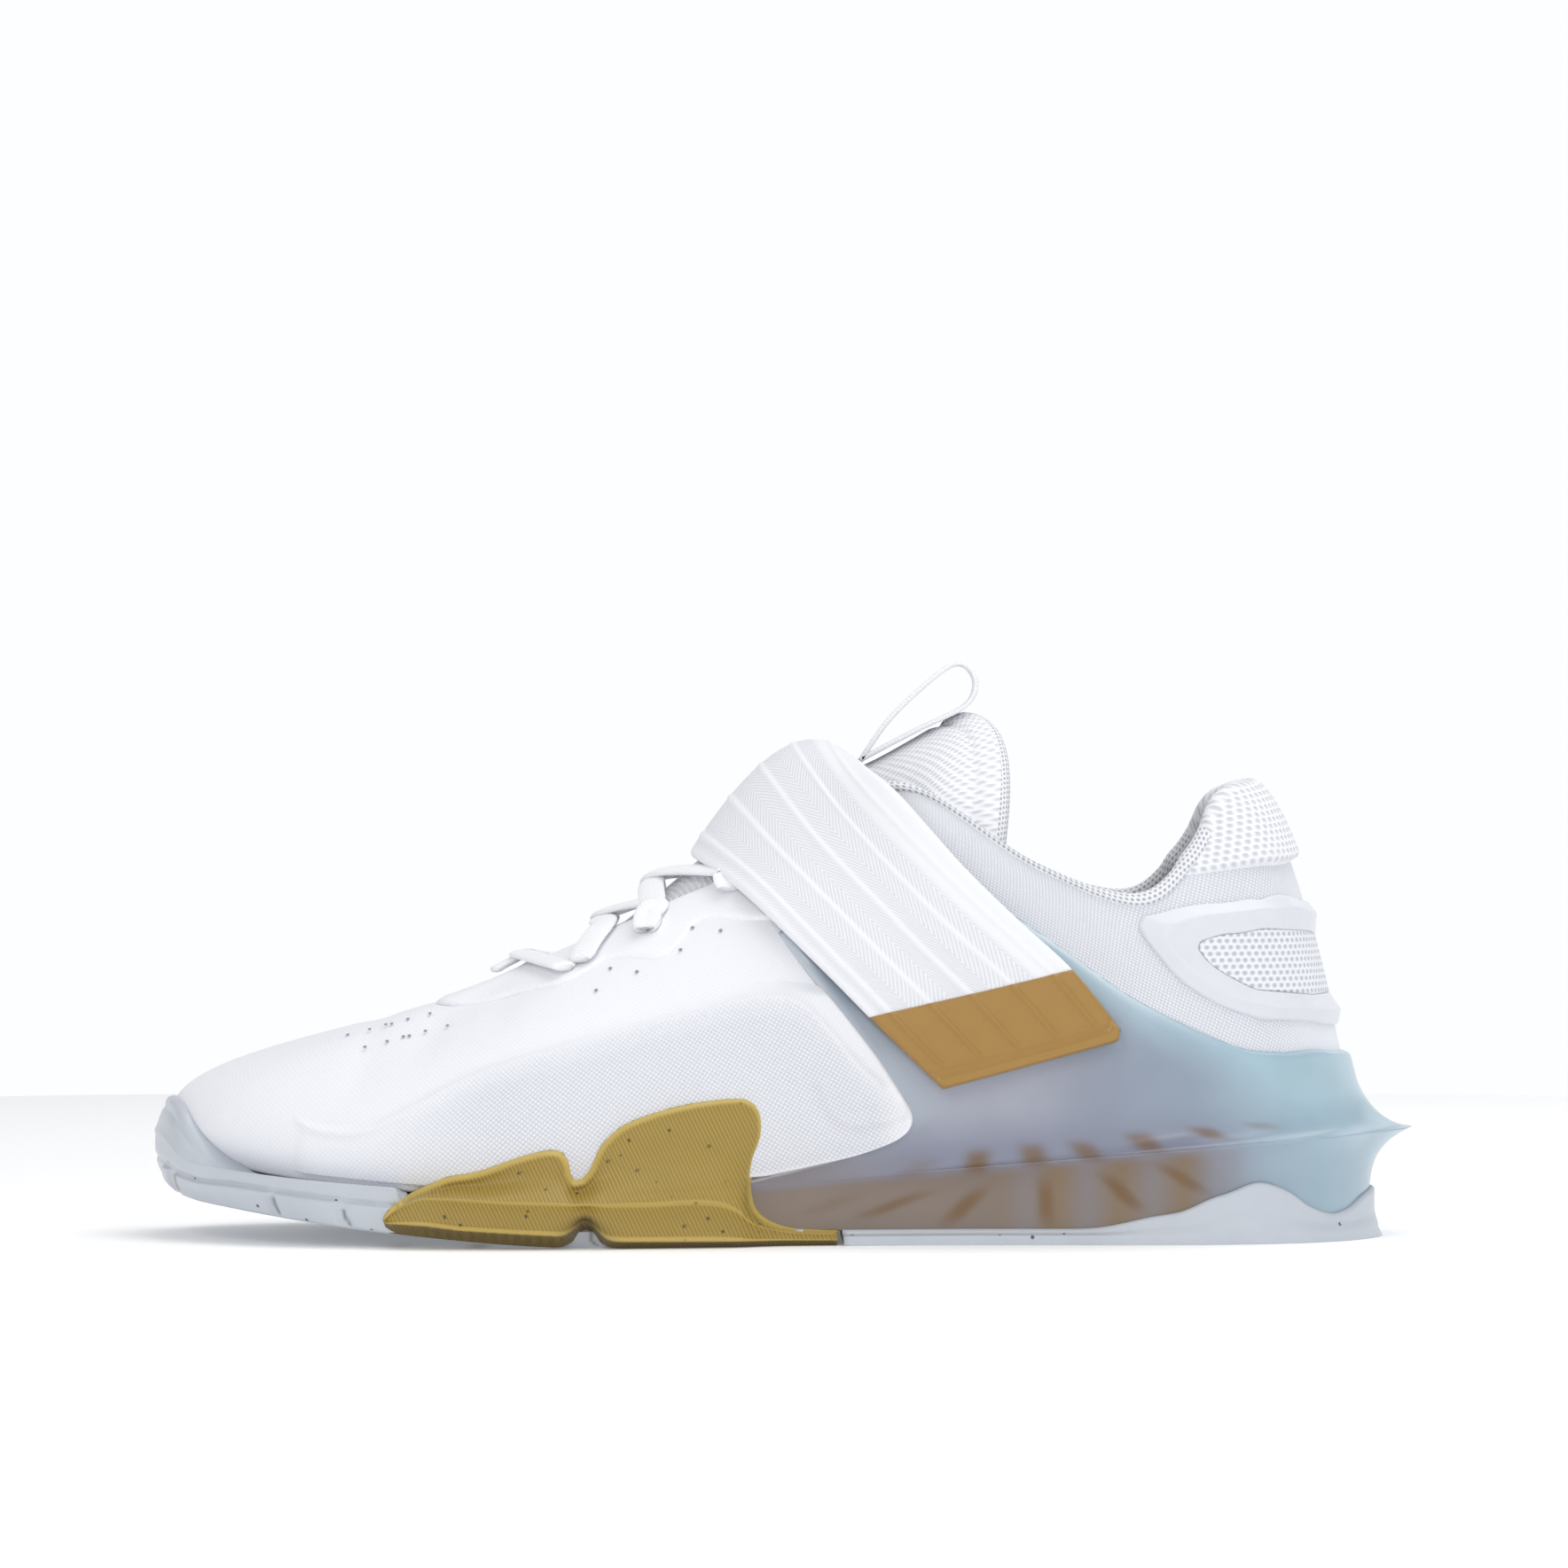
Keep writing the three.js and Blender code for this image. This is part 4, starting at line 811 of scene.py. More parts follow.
@dataclass(frozen=True)
class StitchedTape(Finish):
    """Woven tape with a row of dark stitches beside each edge."""

    thread: str = "#7d828c"
    stitch: float = 2.4
    inset: float = 1.3
    width: float = 13.0

    def dress(self, tree: bpy.types.NodeTree, shader: bpy.types.Node) -> None:
        """Adds cross ribs and the stitches."""
        place = add_node(tree, "ShaderNodeUVMap", uv_map="Cloth")
        parts = add_node(tree, "ShaderNodeSeparateXYZ", {"Vector": place.outputs["UV"]})
        fold = maths(tree, "PINGPONG", parts.outputs["Y"], self.width / 2 * MM)
        off = maths(tree, "SUBTRACT", fold, self.inset * MM)
        near = maths(tree, "ABSOLUTE", off)
        line = maths(tree, "LESS_THAN", near, 0.28 * MM)
        step = maths(tree, "PINGPONG", parts.outputs["X"], self.stitch * MM)
        dash = maths(tree, "LESS_THAN", step, self.stitch * 0.6 * MM)
        mark = maths(tree, "MULTIPLY", line, dash)
        tone = two_tone(tree, mark, linear(self.colour), linear(self.thread))
        tree.links.new(tone, shader.inputs["Base Color"])
        ribs = add_node(tree, "ShaderNodeTexWave", {"Vector": place.outputs["UV"],
                                                    "Scale": WAVE / (0.9 * MM)},
                        wave_type="BANDS", bands_direction="X")
        raise_face(tree, shader, ribs.outputs["Fac"], 0.00008, 0.6)


# The shoe's parts


@dataclass
class Upper:
    """The woven upper with its quarter panels and the smooth film round the throat."""

    last: Last
    panel_lift: float = 1.5
    film_lift: float = 0.7
    columns: int = 370
    rows: int = 88

    def finish(self) -> WovenCloth:
        """The cloth of the upper."""
        return WovenCloth("woven polyester upper", "#f0f1f6", roughness=0.85, sheen=0.15, boldness="bold")

    def ridge(self) -> np.ndarray:
        """The welt over the quarter panel, in the side view."""
        return trace([[(-120.2, 32.4), (-112, 28), (-104, 26.2), (-96, 27.2), (-86, 32), (-70.8, 39.6),
                       (-48.1, 46.8), (-25.5, 53), (-7, 57.1), (3.3, 56.1), (10, 50), (17, 42),
                       (22, 37.5)]], 60)

    def boldness(self, places: np.ndarray) -> np.ndarray:
        """How strongly the weave shows: most in the quarters, least on the toe and the vamp."""
        x, z = places[..., 0], places[..., 2]
        panel = smooth(-112, -62, x) * smooth(4, -6, z - np.interp(x, *self.ridge().T))
        rear = smooth(18, 45, x) * smooth(138, 112, x)
        return 0.22 + 0.78 * np.maximum(panel * smooth(30, 20, x), rear)

    def relief(self, station: np.ndarray, level: np.ndarray, places: np.ndarray) -> np.ndarray:
        """Soft swells and creases of the upper, in millimetres."""
        x, z = places[..., 0], places[..., 2]
        side = smooth(0.12, 0.35, level) * smooth(1.0, 0.9, level)
        vamp = 0.0
        for centre, lean, depth in ((-98, 0.25, 0.5), (-84, 0.35, 0.45), (-70, 0.4, 0.35), (34, -0.5, 0.5)):
            vamp = vamp - depth * hump(0, 3.4, x - centre - lean * (z - 45))
        welt = distance_to(self.ridge(), x, z)
        return vamp * side * smooth(6, 12, welt)

    def shell(self) -> bpy.types.Object:
        """The whole wall, outside, over the top edge and inside."""
        last = self.last
        station = np.linspace(HEEL, HEEL + ROUND, self.columns + 1)[:, None]
        level = np.linspace(0, 1, self.rows)[None]
        outside = last.skin(station, level, 0.0)
        outside = last.skin(station, level, self.relief(station, level, outside))
        over = last.over_edge(station, 0.9, np.linspace(1.1, 1.9, 7)[None], 0.0)
        down = np.linspace(1, 0, 16)[None]
        inside = last.skin(station, down, -last.upper_wall)
        points = np.concatenate([outside, over, inside, outside[:, :1]], axis=1)
        levels = np.concatenate([level[0], np.ones(7), down[0], [0]])[None]
        uv = last.cloth(station + np.zeros_like(levels), levels + np.zeros_like(station))
        uv[-1, :, 0] = uv[-2, :, 0] + (uv[-2, :, 0] - uv[-3, :, 0])
        bold = self.boldness(points)
        bold[:, self.rows:] = 0.3
        return lay("upper_shell", points, uv, {"bold": bold})

    def quarter(self, side: Side) -> bpy.types.Object:
        """The raised quarter panel, whose rear corner lies over the clear clip."""
        last = self.last
        columns, rows = 220, 64
        bottom = trace([last.side([(-0.42, 0.02), (-0.3, 0.02), (-0.2, 0.02), (-0.1, 0.02), (-0.02, 0.022)]),
                        last.side([(0.012, 0.033), (0.057, 0.052), (0.087, 0.074)])], columns)
        right = trace([last.side([(0.087, 0.074), (0.100, 0.088), (0.1085, 0.108), (0.11, 0.135),
                                  (0.1026, 0.176), (0.08, 0.277), (0.057, 0.364), (0.03, 0.46)])], rows)
        top = trace([last.side([(-0.42, 0.16), (-0.36, 0.17), (-0.3, 0.28), (-0.2, 0.39), (-0.1, 0.44),
                                (-0.03, 0.475), (0.03, 0.46)])], columns)
        left = trace([last.side([(-0.42, 0.02), (-0.42, 0.09), (-0.42, 0.16)])], rows)
        lines = [last.find(line) for line in (bottom, top, left, right)]
        patch = coons(*lines)
        station, level = patch[..., 0], patch[..., 1]
        base = last.point(station, level)
        lifted = 0.12 + self.relief(station, level, base)
        x, z = base[..., 0], base[..., 2]
        to_right = arc(base[::-1])[::-1]
        to_bottom = arc_up(base)
        foot = np.where(x > -20, to_bottom, 50)
        edge = np.minimum(to_right, foot)
        lifted = lifted + self.panel_lift * smooth(34, 6, edge) * smooth(-30, -5, x)
        welt = distance_to(self.ridge(), x, z)
        below = smooth(3, -3, z - np.interp(x, *self.ridge().T))
        lifted = (lifted + 1.25 * hump(0, 1.2, welt) + 0.7 * below * smooth(0, 4, welt)
                  - 0.2 * hump(4, 2.5, welt) * below)
        groove = trace([[(8.5, 38), (10.5, 32.5), (15, 29), (22, 29.5), (27.5, 31.5)]], 24)
        to_groove = distance_to(groove, x, z)
        lifted = lifted + 0.55 * hump(0, 1.1, to_groove) - 0.4 * hump(2.4, 1.4, to_groove)
        lifted = lifted * rounding(edge, 0.9) - 0.1
        to_top = arc_up(base[:, ::-1])[:, ::-1]
        shown = smooth(0, 5, np.minimum(to_top + 8 * smooth(10, 25, x), arc(base)))
        lifted = lifted * shown - 0.05 * (1 - shown)
        turned = station if side is Side.OUTER else ROUND - station
        top_face = last.skin(turned, level, lifted)
        under = last.skin(turned, level, -0.6)[:, ::-1]
        points = folded(top_face, under)
        cloth = last.cloth(turned, level)
        uv = folded(cloth)
        bold = self.boldness(base) * smooth(0, 3, edge)
        bold = folded(bold)
        return lay(f"quarter_panel_{side.value}", points, uv, {"bold": bold})

    def film(self) -> bpy.types.Object:
        """The smooth film round the throat, folded over its edge."""
        last = self.last
        shares = [(-0.298, 0.432), (-0.265, 0.435), (-0.23, 0.467), (-0.188, 0.495), (-0.168, 0.522),
                  (-0.15, 0.545), (-0.125, 0.545), (-0.109, 0.54), (-0.094, 0.556), (-0.079, 0.606),
                  (-0.064, 0.625), (-0.026, 0.615), (0.0, 0.62), (0.03, 0.68)]
        found = last.find(trace([last.side(shares)], 160))
        keep = np.concatenate([[True], np.diff(np.maximum.accumulate(found[:, 0])) > 1e-4])
        found = found[keep & (found[:, 0] > 0.9)]
        front = float(last.level_at(np.array(0.0), last.side([(-0.31, 0.43)])[0, 1]))
        edge_station = np.concatenate([[0.0, 0.45], found[:, 0]])
        edge_level = np.concatenate([[front, front + 0.002], found[:, 1]])
        end = found[-1, 0]
        station = np.linspace(-end, end, 320)[:, None]
        low = np.interp(np.abs(station), edge_station, edge_level)
        path = np.concatenate([1 - np.linspace(1, 0, 40) ** 1.6, np.linspace(1.15, 1.85, 6),
                               np.linspace(2, 2.3, 3)])[None]
        rise = rounding(path * (1 - low) * 60, 1.3) * rounding(((end - np.abs(station)) * 28), 1.5)
        base = last.over_edge(station, low, path, self.film_lift * rise + 0.05)
        under = last.over_edge(station, low, path[:, ::-1], -0.4)
        points = folded(base, under)
        levels = low + (1 - low) * np.clip(path, 0, 1)
        cloth = last.cloth(np.mod(station + np.zeros_like(levels), ROUND), levels)
        uv = folded(cloth)
        bold = np.full(points.shape[:2], 0.1)
        return lay("eyestay_film", points, uv, {"bold": bold})

    def pinholes(self) -> bpy.types.Object:
        """Small pressed holes beside the film's lower edge and over the toe."""
        last = self.last
        spots = [(-43.9, 59.2), (-40.7, 64.2), (-34.4, 63.5), (-24.2, 68.6), (-21.4, 73.7), (-14.8, 73.1)]
        for row, (x, z) in enumerate(((-103, 48.2), (-98.5, 44.6), (-94, 50.6), (-89.5, 47.0))):
            spots += [(x + 5.2 * k, z + 1.3 * k + (row % 2)) for k in range(3)]
        found = last.find(np.array(spots))
        parts = []
        turn = np.linspace(0, 2 * np.pi, 13)[:, None]
        ring = np.array([0.0, 0.22, 0.36, 0.46])[None]
        depth = np.array([-0.25, -0.22, -0.05, 0.14])[None]
        for side in Side:
            for station, level in found:
                at = station if side is Side.OUTER else ROUND - station
                centre, normal = last.point(at, level), last.normal(np.array(at), np.array(level))
                u = unit(np.cross(normal, [0, 0, 1.0]))
                v = np.cross(normal, u)
                points = (centre + (np.cos(turn) * ring)[..., None] * u + (np.sin(turn) * ring)[..., None] * v
                          + (depth + 0.32 + 0 * turn)[..., None] * normal)
                parts.append(lay("pinhole", points, closed=False))
        return joined("vent_pinholes", parts)

    def build(self) -> None:
        """Builds and dresses the upper."""
        cloth = self.finish().material()
        set_piece(self.shell(), cloth, "woven_upper", "upper")
        for side in Side:
            set_piece(self.quarter(side), cloth, "woven_upper")
        film = WovenCloth("pressed smooth film", "#f3f4f8", roughness=0.6, boldness="bold", pitch=1.4)
        set_piece(self.film(), film.material(), "smooth_overlay", "eyestay")
        hole = Finish("punched hole shadow", "#acb0b9", roughness=0.9).material()
        set_piece(self.pinholes(), hole, "smooth_overlay")


@dataclass
class ClearHeel:
    """The frosted clip over the heel and the wedge below its ridge, cast as one."""

    last: Last
    flare: float = 0.17
    ridge_round: float = 0.5

    def edges(self, columns: int, rows: int) -> tuple[np.ndarray, np.ndarray]:
        """Station and level of the clip's outer half, from its front edge to the middle of the heel."""
        last = self.last
        front = last.find(trace([last.side([
            (-0.045, 0.0), (-0.035, 0.02), (0.0, 0.04), (0.052, 0.062), (0.080, 0.083), (0.093, 0.098),
            (0.1005, 0.114), (0.102, 0.135), (0.0946, 0.176), (0.073, 0.277), (0.051, 0.364), (0.015, 0.5),
            (-0.005, 0.58)])], rows))
        top = last.find(trace([last.side([(-0.005, 0.58), (0.05, 0.7), (0.095, 0.765)]),
                               last.side([(0.095, 0.765), (0.145, 0.69), (0.171, 0.632), (0.239, 0.49),
                                          (0.292, 0.375), (0.345, 0.287), (0.391, 0.224),
                                          (0.43, 0.203)])], 160))
        back = np.array([[11.2, 44.6], [11.6, 44.2], [12, 43.9]])
        back[:, 1] = last.level_at(back[:, 0], back[:, 1])
        top = trace([np.concatenate([top, back])], 400)
        places = last.point(top[:, 0], top[:, 1])
        length = arc(places)
        share = np.linspace(0, 1, columns)
        top = np.stack([np.interp(share * length[-1], length, top[:, k]) for k in (0, 1)], axis=1)
        start = front[0, 0]
        bottom = np.stack([start + (HEEL - start) * share, np.zeros(columns)], axis=1)
        back = np.stack([np.full(rows, float(HEEL)), np.linspace(0, back[-1, 1], rows)], axis=1)
        patch = coons(bottom, top, front, back)
        return patch[..., 0], patch[..., 1]

    def bars(self, x: np.ndarray, z: np.ndarray) -> np.ndarray:
        """The blurred gold bars inside, as amounts."""
        amount = np.zeros(x.shape)
        # x z lean length width strength
        for cx, cz, lean, length, width, strength in (
                (31.4, 18.0, 1.2, 2.2, 3.2, 0.3), (45.1, 19.4, 0.2, 2.9, 3.0, 0.85),
                (58.3, 20.9, -0.2, 2.7, 3.2, 0.8), (70.7, 21.8, -0.7, 2.4, 3.2, 0.75),
                (84.3, 23.9, -0.9, 2.3, 3.4, 0.8), (99.2, 26.1, -1.6, 1.5, 3.2, 0.7),
                (112.4, 27.6, -2.2, 0.9, 3.6, 0.4), (11, 9.5, 2.2, 2.4, 3.6, 0.3),
                (25.6, 9.3, 2.4, 3.0, 3.2, 0.8), (42.2, 8.9, 0.95, 4.2, 2.6, 0.95),
                (61.2, 9.9, -0.05, 5.4, 1.9, 0.9), (79, 12.2, -0.95, 4.0, 2.2, 0.95),
                (93, 15.5, -1.35, 3.2, 2.4, 0.8)):
            dx, dz = x - cx, z - cz
            a, b = (dx - lean * dz) / width, dz / length
            amount = np.maximum(amount, strength * np.exp(-(a * a) ** 1.4 - (b * b) ** 1.5))
        return amount

    def build(self) -> None:
        """Builds the clip and the wedge with one section for each column."""
        last = self.last
        columns, rows = 210, 84
        station, level = self.edges(columns, rows)
        base = last.point(station, level)
        to_front = arc(base)
        to_top = arc_up(base[:, ::-1])[:, ::-1]
        back_share = smooth(9.4, 11.6, station[:, :1])
        wall = 0.8 + 1.25 * smooth(0.55, 0.1, level) * smooth(2, 30, to_front) + 0.35 * back_share
        edge = np.minimum(to_front + 0.4 * (1 - smooth(0.0, 0.1, level)), to_top * (0.45 + 0.55 * back_share))
        wall = 0.1 + (wall - 0.1) * rounding(edge, 1.9)
        face = last.skin(station, level, wall)
        blend = (np.maximum(0, 1 - level / self.flare) ** 2)[..., None]
        lowest = last.around(station, last.sole(station, "ridge"), last.bed(last.point(station, 0.0)[..., 0]))
        face = face * (1 - blend) + lowest * blend
        foot_station = station[:, :1]
        share = np.linspace(1, 0, 34)[None]
        x = last.point(foot_station, 0.0)[..., 0]
        top, bottom = last.bed(x), last.midsole_foot(x)
        side = last.around(foot_station, last.midsole_reach(foot_station, share),
                           bottom + (top - bottom) * share)
        side[..., 2] = np.minimum(side[..., 2], top)
        spine = last.spine(foot_station)
        spine[..., 2] = last.midsole_foot(spine[..., 0])
        inward = np.stack([side[:, -1] * (1 - t) + spine[:, 0] * t for t in (0.15, 0.5)], axis=1)
        hidden = last.skin(foot_station, np.array([[0.02]]), -0.3)
        inner_top = last.skin(station[:, -1:], level[:, -1:], -0.5)
        inner_mid = last.skin(station[:, 40:41], level[:, 40:41], -0.5)
        half = np.concatenate([face[:, ::-1], side[:, 1:], inward, hidden, inner_mid, inner_top,
                               face[:, -1:]], axis=1)
        other = half[::-1].copy()
        mirror_station = station[::-1, ::-1]
        inner_base = last.skin(ROUND - mirror_station, level[::-1][:, ::-1], wall[::-1][:, ::-1])
        inner_low = last.around(ROUND - mirror_station, last.sole(ROUND - mirror_station, "ridge"),
                                last.bed(last.point(mirror_station, 0.0)[..., 0]))
        inner_blend = blend[::-1][:, ::-1]
        other[:, :rows] = inner_base * (1 - inner_blend) + inner_low * inner_blend
        turned = ROUND - foot_station[::-1]
        inner_side = last.around(turned, last.midsole_reach(turned, share), bottom[::-1]
                                 + (top - bottom)[::-1] * share)
        other[:, rows:rows + 33] = inner_side[:, 1:]
        other[:, rows + 33] = inner_side[:, -1] * 0.85 + spine[::-1, 0] * 0.15
        other[:, rows + 34] = (inner_side[:, -1] + spine[::-1, 0]) / 2
        other[:, rows + 35] = last.skin(turned, np.array([[0.02]]), -0.3)[:, 0]
        other[:, rows + 36] = last.skin(ROUND - station[::-1, 40], level[::-1, 40], -0.5)
        other[:, rows + 37] = last.skin(ROUND - station[::-1, -1], level[::-1, -1], -0.5)
        other[:, rows + 38] = other[:, 0]
        points = np.concatenate([half, other[1:]])
        px, pz = points[..., 0], points[..., 2]
        ridge = last.bed(np.clip(px, -137, 137))
        above = pz - ridge
        edge_all = np.full(points.shape[:2], 30.0)
        edge_all[:columns, :rows] = edge[:, ::-1]
        edge_all[columns:, :rows] = edge[::-1][1:, ::-1]
        ice = np.clip(0.75 * smooth(92, 128, px) + 0.6 * smooth(40, 70, pz) * smooth(20, 45, px)
                      + 0.3 * smooth(55, 100, px) * smooth(0, 12, above)
                      + 0.35 * smooth(12, 0, edge_all) * smooth(20, 34, pz), 0, 1)
        drift = 0.75 + 0.2 * np.sin(px * 0.42) * smooth(45, 60, px)
        tan = smooth(1.5, -3, above) * smooth(112, 92, px) * drift
        tan = np.maximum(tan, 0.4 * smooth(8, 2, above) * smooth(40, 0, px))
        veil = 0.2 * smooth(3, 14, above) * smooth(85, 50, px) * smooth(60, 40, pz)
        veil = np.maximum(veil, 0.5 * smooth(3.5, 0.0, edge_all) * smooth(110, 60, px))
        layers = {"ice": ice, "tan": tan, "bar": self.bars(px, pz) * smooth(125, 105, px), "veil": veil}
        piece = lay("clear_heel", points, None, layers)
        finish = FrostedResin("frosted cast resin", "#82879a", roughness=0.3, coat=0.5, subsurface=0.25)
        set_piece(piece, finish.material(), "clear_clip", "heel_clip", "midsole")


@dataclass
class Rubbers:
    """The front rubber with its toe bumper, the outrigger and the heel rubber."""

    last: Last
    # Outrigger in the side view: top edge x z, and the place x z on its ridge below
    humps: tuple = (
        (-92.9, 7.0, -92.4, 6.9), (-91.2, 9.5, -89.8, 9.2), (-86.3, 13.0, -84.5, 11.8),
        (-80.6, 15.6, -79.0, 11.9), (-77.3, 16.9, -75.5, 11.8), (-70.7, 18.1, -69.5, 11.4),
        (-62.5, 21.0, -63.0, 11.0), (-58.4, 22.2, -59.5, 10.9), (-54.3, 23.0, -56.0, 10.8),
        (-51.4, 22.4, -53.2, 10.7), (-49.9, 20.2, -51.0, 10.6), (-49.6, 18.1, -49.8, 10.55),
        (-48.7, 16.0, -48.7, 10.5), (-46.9, 16.2, -47.0, 10.45), (-45.0, 18.5, -45.0, 10.4),
        (-43.2, 22.6, -42.5, 10.35), (-41.1, 25.5, -39.8, 10.3), (-37.0, 28.8, -36.0, 10.3),
        (-29.6, 31.7, -30.0, 10.35), (-21.4, 33.7, -24.0, 10.7), (-13.2, 34.8, -19.0, 10.7),
        (-8.6, 34.6, -16.0, 10.4), (-5.8, 32.5, -14.0, 10.0), (-4.7, 28.8, -12.5, 9.4),
        (-4.9, 24.7, -11.2, 8.8), (-6.4, 20.6, -10.0, 8.0), (-7.4, 15.6, -9.0, 7.0),
        (-7.2, 11.1, -7.6, 5.9), (-6.0, 8.2, -5.4, 4.8), (-3.3, 6.0, -2.4, 4.0), (0.8, 4.5, 1.2, 3.3),
        (5.8, 3.9, 6.0, 2.9), (12.4, 3.6, 12.4, 2.7))
    # Lug bars on the front rubber: from x, to x
    bars: tuple = ((-147, -144.4), (-143.4, -119.6), (-118.4, -103.0), (-101.4, -70), (-69, -45), (-44, -20))

    def cup(self, station: np.ndarray, rows: int) -> np.ndarray:
        """The outer face of the front rubber, from its rim down to the floor."""
        last = self.last
        wrapped = np.mod(station, ROUND)
        x = last.point(wrapped, 0.0)[..., 0]
        floor, bed = last.floor(x), last.bed(x)
        covered = smooth(-90, -81, x) * (wrapped <= HEEL)
        near = np.linspace(-0.18, 0.18, 7)
        rise = sum(last.sole(np.mod(station + step, ROUND), "bumper") for step in near) / len(near)
        rise = rise * (1 - covered) - (7.0 + 4.5 * smooth(-15, -9, x)) * covered
        top = bed + rise
        level = last.level_at(wrapped, top)
        over = (rise > 0)[..., None]
        rim = np.where(over, last.skin(wrapped, level, last.clearance + 1.2),
                       last.around(wrapped, last.midsole_reach(wrapped, 0.0) + 1.5, top))
        belly_height = floor + (np.minimum(top, bed) - floor) * np.where(rise > 0, 1.1, 0.8)
        belly = last.around(wrapped, last.sole(wrapped, "belly") - 5.5 * covered, belly_height)
        ground = last.around(wrapped, last.sole(wrapped, "ground") - 5.5 * covered, floor)
        out = belly - last.around(wrapped, 0.0, belly_height)
        swell = (rim + belly) / 2 + out * np.where(rise > 0, 0.09, 0)[..., None]
        low = belly + (ground - belly) * 0.55 + out * 0.1
        keys = np.concatenate([rim, swell, belly, low, ground], axis=1).transpose(1, 0, 2)
        wall = spline(keys, np.linspace(0, 4, rows)).transpose(1, 0, 2)
        length = arc_up(wall)
        share = length / length[:, -1:]
        outward = unit(last.around(wrapped, 1.0, 0.0) - last.around(wrapped, 0.0, 0.0))
        front = smooth(-60, -80, x)
        band_edge = 0.60
        lug = np.zeros_like(share)
        for start, end in self.bars:
            lean = wall[..., 0] - 1.3 * smooth(0.75, 1.0, share)
            lug = np.maximum(lug, smooth(start, start + 0.7, lean) * smooth(end, end - 0.7, lean))
        lug = lug * smooth(band_edge - 0.015, band_edge + 0.03, share) * smooth(1.0, 0.96, share)
        crease = 0.35 * hump(0.33, 0.035, share) - 0.45 * hump(band_edge - 0.03, 0.03, share)
        lip = 0.5 * rounding(length, 1.2) - 0.35 * hump(2.6, 0.8, length)
        relief = (0.85 * lug + crease) * (1 - covered) + lip * front
        return wall + outward * relief[..., None]

    def front(self) -> bpy.types.Object:
        """The cup under the forefoot, from its thin rim over the toe down to the floor."""
        last = self.last
        station = np.linspace(-5.0, 5.0, 480)[:, None]
        wrapped = np.mod(station, ROUND)
        wall_rows = 90
        wall = self.cup(station, wall_rows)
        x = last.point(wrapped, 0.0)[..., 0]
        rim = wall[:, :1]
        on_skin = (rim[..., 2] > last.bed(x) + 0.5)[..., None]
        inner_rim = np.where(on_skin, last.skin(wrapped, last.level_at(wrapped, rim[..., 2] + 0.1), -0.3),
                             last.around(wrapped, last.midsole_reach(wrapped, 0.0) + 0.3, rim[..., 2]))
        lip = np.concatenate([inner_rim, (inner_rim + rim) / 2 + np.array([0, 0, 0.3])], axis=1)
        spine = last.spine(wrapped)
        spine[..., 2] = last.floor(spine[..., 0])
        share = np.linspace(0.04, 1, 30)[None, :, None]
        under = wall[:, -1:] * (1 - share) + spine * share
        under[..., 2] = last.floor(under[..., 0])
        for groove in (0.06, 0.115, 0.175, 0.24, 0.31, 0.38, 0.45):
            gap = np.abs(under[..., 0] - (groove - 0.5) * last.length)
            under[..., 2] += 1.2 * smooth(1.7, 0.9, gap) * smooth(0, 0.1, share[..., 0])
        spine_up = spine.copy()
        spine_up[..., 2] = last.midsole_foot(spine_up[..., 0])
        inner = last.around(wrapped, -1.0, last.midsole_foot(x))
        points = np.concatenate([lip, wall, under, spine_up, inner, lip[:, :1]], axis=1)
        # Painted shade in the notches between the lug bars.
        shade = np.zeros(points.shape[:2])
        notches = np.array([(bar[1] + next_bar[0]) / 2 for bar, next_bar in zip(self.bars, self.bars[1:])])
        share = np.linspace(0, 1, wall_rows)[None]
        lean = wall[..., 0] - 1.6 * smooth(0.72, 1.0, share)
        gap = np.abs(lean[..., None] - notches).min(axis=-1)
        height = wall[..., 2] - last.floor(wall[..., 0])
        shade[:, 2:2 + wall_rows] = (0.75 * smooth(0.62, 0.2, gap) * smooth(4.6, 3.9, height)
                                     * smooth(0.2, 0.9, height))
        return lay("front_rubber", points, None, {"shade": shade})

    def backing(self, x: np.ndarray, z: np.ndarray) -> tuple[np.ndarray, np.ndarray]:
        """The y of what the outrigger lies on: first the upper or the sole, then the front rubber."""
        last = self.last
        stations = np.linspace(1.0, 7.5, 300)
        feather = last.point(stations, np.zeros(300))
        station = np.interp(x, feather[:, 0], stations)
        found = last.find(np.stack([x, z], axis=-1), np.stack([station, last.level_at(station, z)], axis=-1))
        skin = last.point(found[..., 0], found[..., 1])[..., 1]
        plain = np.interp(x, feather[:, 0], feather[:, 1])
        share = smooth(-1.5, 1.5, z - last.bed(x))
        base = plain * (1 - share) + skin * share
        lane = np.linspace(1.0, 3.2, 240)
        wall = self.cup(lane[:, None], 60)
        height = np.linspace(0, 20, 81)
        sheet = np.stack([np.interp(height, row[::-1, 2], row[::-1, 1]) for row in wall])
        at = np.clip(np.interp(x, wall[:, 40, 0], np.arange(240.0)), 0, 238.99)
        rise = np.clip(z / 20 * 80, 0, 79.99)
        return base, np.where(x < -67, between(sheet, at, rise), 0.0)

